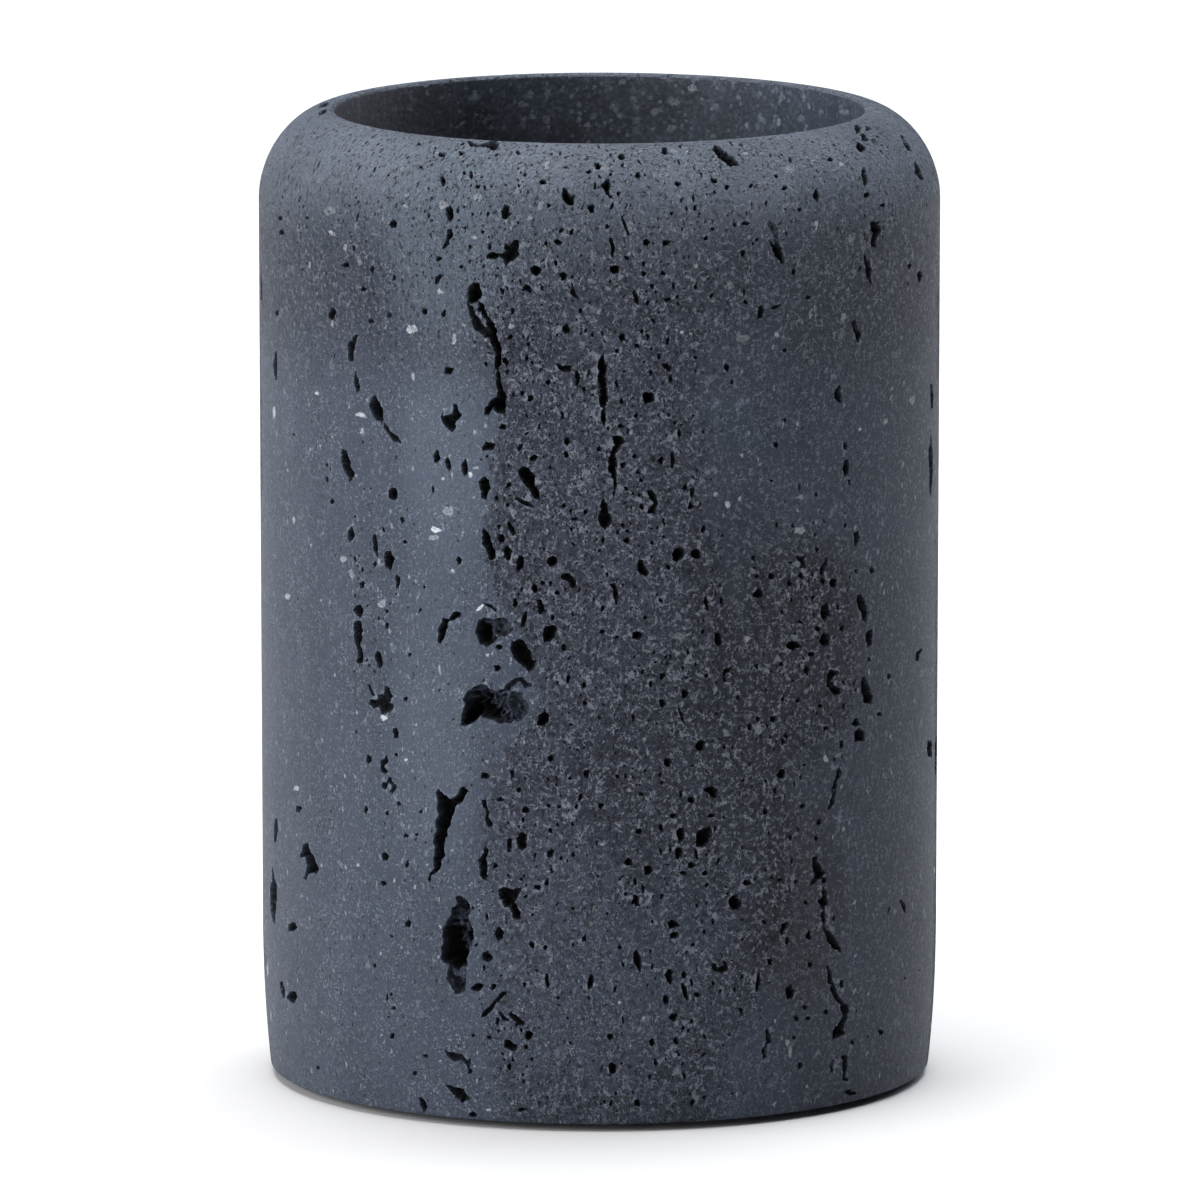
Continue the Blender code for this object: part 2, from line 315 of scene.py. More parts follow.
class Pore(Patch):
    """A hollow in the stone."""

    RIM_DARK = 0.09  # how far inside its rim the painted shade is full
    DARKEST = 0.98
    DEPTH_CHANCE = (0.85, 1.25)
    LUMPY = 2.2  # from this width on, lumps of the bed stand up into the light
    LUMPS = (0.8, 5.5), (2.2, 8.5)  # lumps to a millimetre, and the noise's layer
    LUMP_RISE, LUMP_LIGHT = 0.45, 0.68  # how much depth and how much painted shade a lump takes away
    LUMP_MARGIN = (0.12, 0.42)  # how near the rim they begin, and from where on they are whole

    def __init__(self, rim, dice, deep=1.0, plain=False):
        super().__init__(rim, dice, plain)
        self.deep = 1.1 * self.narrow**0.75 * dice.uniform(*self.DEPTH_CHANCE) * deep
        self.steep = 0.06 + 0.13 * self.narrow
        # painted shade: how dark the hollow is painted at its darkest
        self.pore_shade_strength = self.DARKEST * min(1, 0.25 + 0.8 * deep)

    def is_repeated(self):
        """Whether the back has one like it."""
        return self.narrow < REPEATED_WIDTH and np.abs(self.rim[:, 0]).max() < SEEN_TURN

    def lit_at(self, points, away):
        """Where lumps of a wide bed stand up: mostly to the right and above, clear of the rim."""
        if self.narrow < self.LUMPY:
            return np.zeros(len(points))
        across, up = (2 * (points - self.low) / (self.high - self.low) - 1).T
        coarse, fine = (np.array([noise.noise(noise_spot(x, y, lumps)) for x, y in points])
                        for lumps in self.LUMPS)
        rise = 0.7 * (coarse + 0.5 * fine) + 0.4 * across + 0.7 * up
        return soft_step(away, *self.LUMP_MARGIN) * soft_step(rise, -0.15, 0.0)

    def sunk_at(self, points):
        """How far towards its full depth the hollow is at points of the unrolled body."""
        inside, away = inside_and_away(self.rim, points)
        level = 1 - np.exp(-away / self.steep)
        return np.where(inside, level * (1 - self.LUMP_RISE * self.lit_at(points, away)), 0)

    def depth_at(self, points):
        return self.deep * self.sunk_at(points)

    def rim_at(self, points):
        """Whether points are on the rim."""
        return (inside_and_away(self.rim, points)[1] < 1e-3).astype(float)

    def pore_shade_at(self, points):
        """How much painted shade darkens the hollow, which grows with the depth and is strongest in
        narrow pores.
        """
        inside, away = inside_and_away(self.rim, points)
        shade = np.minimum(1, away / self.RIM_DARK)
        lit = self.LUMP_LIGHT * self.lit_at(points, away)
        return np.where(inside, self.pore_shade_strength * shade * (1 - lit), 0)


class Fleck(Patch):
    """A grain of pale mineral that the surface was cut through."""

    def __init__(self, rim, dice, bright):
        super().__init__(rim, dice)
        self.bright = bright

    def pale_at(self, points):
        """How pale the fleck makes points of the unrolled body."""
        inside, away = inside_and_away(self.rim, points)
        return np.where(inside, self.bright * np.minimum(1, away / self.RIM_STEP), 0)


SIDE = 0.24  # length of the sides of a ragged rim
JAG = 0.24  # how far a large one is jogged out of true
SMALL_JAG = 0.11
WORN_EDGE = 0.05  # how far the edge of a seen crack or cavity has worn outward from its dark core


def seen_loop(corners, in_bore=False, jag=JAG, grown=0.0):
    """A ragged loop on the body from corners in pixels, or nothing if one of them misses it."""
    places = [seen_place(x, y, in_bore) for x, y in corners]
    if any(place is None for place in places):
        return None
    loop = ragged(places, SIDE, jag)
    return loop - inward(loop) * grown


BLOB_SIDE = 3.2  # its width and height together have so much to a corner
FEWEST_CORNERS, MOST_CORNERS = 5, 10


def blob(wide, tall, lean, dice, uneven=0.22):
    """Corners of an uneven rounded shape about the origin, leaning clockwise by degrees."""
    count = int(min(max(round((wide + tall) / BLOB_SIDE), FEWEST_CORNERS), MOST_CORNERS))
    lean_cos, lean_sin = math.cos(math.radians(lean)), math.sin(math.radians(lean))
    start = dice.uniform(0, math.tau)
    corners = []
    for corner in range(count):
        angle = start + math.tau * (corner + dice.uniform(-0.25, 0.25)) / count
        swell = 1.05 * (1 + dice.uniform(-uneven, uneven))
        x, y = wide / 2 * math.cos(angle) * swell, tall / 2 * math.sin(angle) * swell
        corners.append((x * lean_cos - y * lean_sin, x * lean_sin + y * lean_cos))
    return corners


def ribbon(path):
    """Corners of a crack along (x, y, width) points, blunt at both ends."""
    left, right = [], []
    for (x, y, wide), before, after in zip(path, path[:1] + path[:-1], path[1:] + path[-1:]):
        along = np.array([after[0] - before[0], after[1] - before[1]])
        across = np.array([-along[1], along[0]]) / np.linalg.norm(along) * wide / 2
        left.append((x + across[0], y + across[1]))
        right.append((x - across[0], y - across[1]))
    return left + right[::-1]


# Outlines of the pores that stand out in the photograph, by their corners in pixels, and how deep
# each is against its size.
SEEN_SHAPES = {
    "bowl": (1.1, (478, 619), (484, 617), (495, 620), (504, 617), (511, 623), (512, 630), (506, 635),
        (499, 637), (494, 642), (487, 646), (480, 643), (476, 632)),
    "cavity below the bowl": (1.2, (512, 641), (519, 639), (530, 651), (532, 659), (538, 661),
        (535, 667), (530, 673), (520, 663), (514, 658), (511, 650)),
    "largest cavity": (1.3, (461, 726), (462, 717), (464, 708), (463, 701), (466, 694), (472, 690),
        (479, 685), (486, 684), (489, 690), (496, 691), (504, 688), (510, 697), (509, 705), (513, 712),
        (514, 720), (510, 724), (501, 723), (494, 721), (486, 718), (479, 716), (474, 722), (469, 725)),
    "arch by the largest cavity": (0.7, (503, 689), (508, 682), (516, 678), (523, 677), (528, 683),
        (533, 684), (531, 688), (525, 688), (521, 682), (514, 684), (509, 690)),
    "crumbled bed by the largest cavity": (0.5, (508, 696), (514, 690), (522, 694), (529, 706),
        (526, 716), (518, 722), (513, 718), (510, 706)),
    "shard by the largest cavity": (1.1, (537, 725), (538, 715), (545, 709), (550, 715), (548, 722),
        (543, 726)),
    "horned pit": (1.1, (442, 410), (443, 415), (448, 416), (453, 414), (453, 404), (457, 404),
        (460, 416), (456, 421), (456, 426), (451, 433), (444, 425), (441, 416)),
    "head of the long crack": (1.3, (470, 287), (474, 283), (480, 285), (482, 291), (481, 299),
        (475, 302), (468, 303), (467, 295)),
    "long crack": (1.3, (478, 300), (483, 304), (488, 318), (494, 325), (496, 335), (501, 346),
        (501, 360), (498, 371), (502, 383), (506, 400), (505, 414), (497, 414), (492, 408), (488, 415),
        (484, 415), (484, 409), (489, 404), (497, 395), (496, 371), (493, 347), (489, 337), (486, 322),
        (479, 311)),
    "branch of the long crack": (0.8, (467, 303), (472, 306), (476, 316), (484, 327), (492, 336),
        (492, 342), (484, 337), (476, 330), (471, 319)),
    "hooked pore": (1.1, (439, 643), (438, 632), (440, 623), (443, 618), (448, 618), (456, 611),
        (460, 613), (459, 618), (449, 621), (447, 629), (442, 644)),
    "crumbled patch": (0.8, (378, 693), (377, 700), (370, 699), (369, 704), (373, 708), (378, 707),
        (382, 713), (390, 713), (393, 707), (389, 702), (393, 697), (389, 688), (385, 686), (383, 696)),
    "slanted pit": (1.2, (519, 471), (525, 467), (530, 469), (535, 476), (534, 486), (539, 495),
        (540, 502), (535, 499), (527, 486), (519, 476)),
    "left slot": (1.1, (342, 449), (347, 452), (349, 460), (351, 467), (354, 472), (352, 481),
        (349, 481), (347, 474), (343, 467), (341, 459)),
    "teardrop": (1.2, (371, 398), (376, 396), (379, 401), (383, 410), (384, 419), (381, 423),
        (376, 420), (372, 412), (370, 405)),
    "tail of the teardrop": (0.9, (383, 422), (390, 430), (395, 436), (401, 440), (400, 444),
        (395, 442), (389, 436), (385, 430)),
    "oval pit": (1.2, (480, 478), (484, 476), (488, 481), (491, 486), (489, 492), (487, 500),
        (482, 498), (479, 485)),
    "slanted slot": (1.2, (484, 528), (489, 533), (490, 541), (494, 550), (495, 559), (491, 561),
        (487, 554), (483, 543), (481, 536)),
    "thorn": (1.1, (537, 600), (542, 600), (545, 606), (546, 613), (541, 615), (538, 610)),
    "leaning pit": (1.1, (544, 642), (543, 635), (545, 626), (551, 624), (557, 629), (554, 635),
        (550, 642)),
    "bent pit": (1.1, (563, 575), (571, 573), (575, 580), (576, 587), (573, 588), (568, 582),
        (563, 580)),
    "tall slot": (1.1, (355, 621), (360, 621), (362, 630), (361, 644), (363, 655), (362, 663),
        (357, 663), (357, 653), (354, 639), (353, 628)),
    "middle pit": (1.2, (602, 499), (607, 502), (609, 511), (612, 518), (610, 527), (606, 530),
        (600, 527), (599, 510)),
    "middle crack": (1.2, (613, 437), (619, 436), (625, 441), (621, 447), (617, 451), (616, 458),
        (616, 472), (616, 484), (615, 498), (613, 497), (614, 484), (611, 476), (608, 467), (609, 456),
        (612, 450), (614, 444)),
    "upper middle crack": (1.2, (598, 361), (602, 355), (606, 361), (606, 378), (608, 388), (607, 401),
        (605, 412), (606, 420), (603, 427), (601, 418), (602, 408), (599, 399), (600, 388)),
    "square pit": (1.1, (673, 550), (684, 548), (685, 552), (681, 559), (677, 564), (672, 561)),
    "hook": (1.0, (647, 490), (652, 489), (656, 495), (659, 504), (655, 513), (647, 513), (649, 508),
        (653, 504), (650, 497)),
    "wedge": (1.0, (638, 562), (642, 561), (646, 568), (649, 574), (646, 577), (641, 573), (637, 568)),
    "standing slot": (1.1, (611, 584), (616, 583), (618, 591), (619, 601), (615, 604), (613, 596)),
    "right oval": (1.1, (715, 633), (719, 633), (723, 639), (720, 646), (715, 643)),
    "curl": (0.9, (830, 670), (838, 669), (839, 673), (833, 675), (831, 681), (834, 685), (841, 688),
        (842, 692), (836, 696), (831, 692), (827, 685), (828, 676)),
    "right slot": (1.0, (857, 596), (862, 595), (865, 603), (868, 612), (866, 623), (863, 619),
        (858, 605)),
    "low right slot": (1.0, (862, 676), (865, 676), (869, 685), (873, 697), (871, 705), (864, 703),
        (861, 690)),
    "broken notch in the lip": (0.9, (466, 141), (470, 140), (474, 143), (480, 144), (486, 143),
        (490, 141), (498, 141), (499, 144), (496, 150), (491, 150), (486, 147), (478, 147), (470, 146)),
    "groove in the shoulder": (0.9, (711, 149), (715, 145), (720, 147), (729, 155), (736, 160),
        (740, 164), (736, 167), (729, 166), (722, 160), (716, 155)),
    "head of the forked pit": (0.9, (854, 126), (857, 124), (862, 128), (860, 132), (856, 134)),
    "arm of the forked pit": (0.6, (865, 125), (870, 127), (872, 130), (867, 131)),
    "middle of the forked pit": (0.8, (860, 134), (865, 134), (869, 139), (867, 142), (862, 140)),
    "foot of the forked pit": (1.0, (857, 142), (861, 143), (866, 148), (864, 151), (859, 151),
        (856, 147)),
    "pit by the right shoulder": (1.0, (900, 135), (903, 135), (906, 142), (910, 146), (912, 151),
        (908, 151), (904, 145)),
    "slash by the right shoulder": (0.8, (913, 160), (917, 164), (921, 172), (924, 179), (921, 180),
        (916, 174)),
    "slit under the forked pit": (1.0, (862, 167), (865, 169), (868, 179), (866, 188), (864, 185),
        (862, 176)),
    "keyhole": (1.1, (870, 223), (874, 220), (879, 222), (881, 231), (877, 240), (876, 249), (871, 247),
        (871, 240), (873, 234)),
    "slit under the keyhole": (1.0, (865, 253), (868, 258), (871, 270), (872, 284), (870, 283),
        (866, 272), (864, 259)),
    "spearhead": (1.0, (813, 197), (817, 188), (820, 197), (817, 202)),
    "long groove": (0.25, (767, 224), (770, 221), (776, 225), (779, 234), (780, 245), (776, 248),
        (773, 234)),
    "foot of the long groove": (1.1, (770, 242), (774, 244), (779, 243), (784, 254), (784, 262),
        (781, 263), (770, 247)),
    "edge pit": (1.0, (917, 273), (920, 269), (923, 275), (920, 283), (918, 280)),
    "pit under the lip": (1.0, (601, 186), (605, 180), (609, 179), (610, 186), (609, 190), (613, 197),
        (608, 197), (605, 191)),
    "leaf": (1.1, (448, 229), (451, 228), (452, 236), (448, 245), (443, 249), (444, 242)),
    "bent leaf": (1.0, (434, 284), (435, 277), (440, 274), (443, 275), (440, 280), (437, 285)),
    "hooked hole": (1.1, (502, 218), (502, 211), (505, 204), (509, 206), (509, 211), (512, 214),
        (506, 219)),
    "diagonal pit": (1.1, (563, 197), (561, 188), (566, 188), (571, 195), (575, 197), (575, 204),
        (571, 205), (565, 201)),
    "ragged cluster": (0.9, (503, 243), (509, 245), (514, 240), (519, 241), (518, 250), (519, 256),
        (514, 259), (506, 267), (504, 260), (499, 257), (493, 260), (487, 259), (487, 254), (493, 253),
        (502, 254), (506, 251)),
    "small arch": (1.0, (521, 289), (525, 285), (530, 286), (533, 291), (530, 292), (525, 290)),
    "narrow slot": (1.0, (572, 281), (574, 286), (579, 299), (575, 299), (572, 298), (571, 289)),
    "flat crack": (0.9, (556, 364), (561, 366), (572, 366), (570, 371), (564, 371), (558, 368)),
    "bow": (1.0, (350, 363), (348, 353), (349, 342), (355, 335), (359, 333), (354, 346), (353, 360)),
    "bowstring": (0.9, (355, 371), (358, 378), (359, 390), (357, 392), (354, 383)),
    "upright pit": (1.0, (633, 291), (636, 290), (638, 297), (639, 302), (637, 306), (634, 300)),
    "left foot": (1.0, (758, 320), (758, 307), (764, 305), (764, 309), (762, 316)),
    "right foot": (0.9, (771, 309), (775, 305), (782, 304), (779, 307), (773, 311)),
    "right upper slot": (1.0, (852, 321), (856, 320), (858, 328), (862, 335), (858, 343), (856, 337),
        (852, 328)),
    "right spearhead": (1.0, (834, 394), (839, 385), (841, 394), (842, 403), (839, 402), (835, 398)),
    "slice": (1.0, (662, 364), (667, 364), (673, 368), (670, 373), (664, 369)),
    "lower crack": (1.3, (438, 788), (444, 795), (452, 799), (457, 795), (459, 788), (464, 786),
        (469, 791), (467, 795), (456, 806), (452, 814), (449, 827), (445, 840), (443, 855), (440, 869),
        (435, 873), (431, 875), (430, 883), (428, 879), (429, 873), (433, 869), (435, 855), (434, 842),
        (436, 827), (438, 811), (436, 799)),
    "lower cavity": (1.4, (457, 903), (464, 900), (471, 905), (470, 910), (468, 916), (471, 924),
        (473, 936), (471, 947), (467, 957), (466, 966), (455, 970), (449, 968), (446, 964), (441, 957),
        (443, 944), (443, 929), (448, 919), (453, 908)),
    "lower cavity's foot": (0.6, (449, 957), (458, 955), (466, 957), (466, 982), (464, 991), (457, 995),
        (452, 989), (447, 978)),
    "lower cavity's head": (0.6, (457, 897), (464, 897), (471, 903), (467, 912), (458, 912)),
    "left ragged pit": (1.0, (308, 841), (310, 850), (314, 857), (318, 868), (317, 874), (311, 873),
        (306, 880), (303, 878), (307, 868), (305, 857), (300, 857), (302, 847)),
    "small bracket": (0.9, (382, 759), (387, 757), (388, 762), (384, 767), (388, 772), (383, 773),
        (380, 765)),
    "broken ring": (0.8, (383, 782), (387, 782), (390, 778), (396, 786), (393, 795), (389, 791),
        (392, 786), (389, 783), (385, 790), (382, 788)),
    "slit": (1.0, (482, 799), (487, 801), (489, 814), (492, 828), (487, 828), (486, 814), (484, 808)),
    "long slit": (1.1, (485, 845), (487, 847), (486, 860), (487, 873), (487, 880), (482, 880),
        (480, 868), (478, 860), (482, 855)),
    "block": (1.0, (507, 838), (512, 838), (512, 852), (507, 853)),
    "cluster": (0.9, (517, 837), (521, 832), (528, 836), (526, 841), (528, 846), (521, 852),
        (517, 845)),
    "broken wedge": (0.9, (498, 888), (508, 889), (521, 888), (518, 898), (513, 903), (521, 913),
        (518, 920), (513, 916), (509, 908), (503, 906), (500, 896)),
    "round pit": (1.1, (495, 930), (499, 926), (503, 930), (503, 939), (498, 941), (495, 936)),
    "arrowhead": (0.9, (508, 993), (501, 1000), (494, 1007), (490, 1014), (482, 1017), (481, 1013),
        (489, 1006), (495, 1000), (503, 992)),
    "tilted pit": (1.0, (505, 1041), (510, 1041), (517, 1046), (517, 1051), (510, 1051), (505, 1046)),
    "low hook": (0.8, (445, 1049), (451, 1053), (462, 1054), (466, 1059), (471, 1059), (471, 1072),
        (467, 1077), (468, 1066), (462, 1061), (453, 1061), (447, 1056)),
    "low slant": (0.9, (447, 1084), (454, 1088), (465, 1088), (467, 1095), (471, 1100), (462, 1102),
        (456, 1097), (450, 1091)),
    "low left pit": (1.0, (419, 1097), (422, 1097), (428, 1107), (424, 1111), (420, 1105)),
    "right of centre pit": (1.1, (705, 790), (710, 785), (717, 791), (717, 797), (711, 797)),
    "upper centre pit": (1.0, (695, 745), (699, 740), (705, 743), (705, 749), (697, 751)),
    "knot": (0.9, (696, 847), (696, 833), (703, 829), (711, 828), (712, 834), (710, 841), (702, 848)),
    "triangle": (1.1, (631, 903), (634, 894), (638, 896), (642, 906), (636, 907)),
    "cup": (0.9, (711, 964), (712, 970), (722, 973), (729, 970), (728, 963), (722, 961), (725, 966),
        (720, 968), (715, 964)),
    "doorway": (1.1, (665, 976), (669, 968), (674, 971), (674, 981), (670, 985), (666, 981)),
    "raindrop": (1.0, (779, 934), (782, 924), (788, 922), (786, 929), (782, 935)),
    "tooth": (1.0, (786, 998), (786, 989), (791, 984), (795, 991), (793, 998), (788, 1000)),
    "snake": (0.8, (765, 1028), (770, 1033), (771, 1041), (767, 1044), (766, 1050), (768, 1058),
        (764, 1059), (762, 1051), (766, 1041)),
    "right crack's top": (1.0, (840, 765), (841, 773), (837, 783), (836, 794), (833, 806), (828, 811),
        (828, 808), (831, 797), (834, 783), (837, 773)),
    "right crack's bend": (1.0, (813, 856), (817, 855), (818, 862), (826, 873), (822, 878), (817, 879),
        (813, 888), (811, 883), (815, 875), (813, 865)),
    "right crack's knee": (1.1, (822, 887), (826, 890), (827, 898), (828, 903), (825, 911), (819, 906),
        (816, 901), (822, 898)),
    "right crack's waist": (1.1, (821, 911), (825, 911), (825, 926), (830, 933), (836, 939), (841, 947),
        (840, 953), (832, 949), (828, 941), (823, 930)),
    "right crack's foot": (1.0, (826, 964), (830, 968), (833, 982), (837, 993), (842, 1000),
        (848, 1005), (848, 1018), (844, 1028), (845, 1033), (837, 1037), (832, 1040), (833, 1031),
        (839, 1023), (842, 1015), (841, 1005), (835, 998), (830, 987)),
    "right crack's heel": (0.9, (842, 1056), (847, 1056), (847, 1066), (845, 1077), (849, 1080),
        (843, 1080)),
    "base pit": (0.9, (844, 1091), (851, 1089), (858, 1093), (850, 1096)),
    "right edge pit": (1.0, (928, 740), (932, 742), (932, 756), (928, 758), (927, 748)),
    "bracket": (0.9, (723, 670), (731, 668), (730, 672), (726, 674), (726, 681), (723, 682)),
    "square bracket": (0.8, (795, 557), (805, 556), (805, 569), (799, 568), (801, 562), (796, 561)),
    "pair of pits": (1.1, (753, 597), (756, 590), (760, 586), (763, 596), (758, 598)),
    "loose slot": (1.0, (867, 631), (872, 628), (873, 637), (871, 646), (867, 648), (866, 640)),
}

# Cracks that are only a line, as runs of (x, y, width) pixels.
SEEN_LINES = (
    ((622, 216, 2), (625, 226, 3), (629, 236, 2)), ((612, 257, 2), (613, 247, 4), (611, 238, 3)),
    ((826, 557, 2), (826, 563, 3), (823, 568, 4), (821, 575, 4)),
    ((922, 649, 2), (918, 654, 4), (917, 661, 3)), ((679, 708, 2), (682, 716, 4), (684, 723, 2)),
    ((276, 352, 2), (275, 366, 4), (276, 380, 2)), ((931, 384, 2), (932, 396, 3), (932, 408, 2)),
    ((682, 983, 3), (685, 992, 5), (687, 1000, 3)), ((276, 818, 2), (276, 830, 4), (275, 842, 2)),
    ((281, 982, 3), (283, 991, 4), (284, 998, 2)), ((759, 974, 2), (758, 984, 4), (757, 992, 2)),
    ((901, 900, 3), (904, 907, 4), (905, 913, 2)), ((369, 685, 2), (371, 690, 3), (374, 695, 2)),
    ((833, 1060, 2), (832, 1066, 3), (832, 1072, 2)), ((508, 522, 2), (511, 528, 5), (514, 535, 3)),
    ((577, 371, 3), (578, 378, 5), (577, 386, 3)), ((672, 452, 3), (673, 460, 4), (672, 468, 2)),
    ((319, 107, 2), (324, 105, 4), (329, 103, 2)), ((319, 114, 3), (323, 112, 4), (327, 110, 2)),
    ((499, 1012, 3), (503, 1018, 4), (509, 1020, 3)), ((510, 1013, 3), (517, 1020, 5), (524, 1024, 4)),
    ((485, 604, 2), (490, 606, 3), (497, 611, 2)), ((526, 612, 3), (524, 619, 5), (523, 627, 4)),
    ((515, 498, 2), (525, 503, 4), (533, 507, 2)),
)

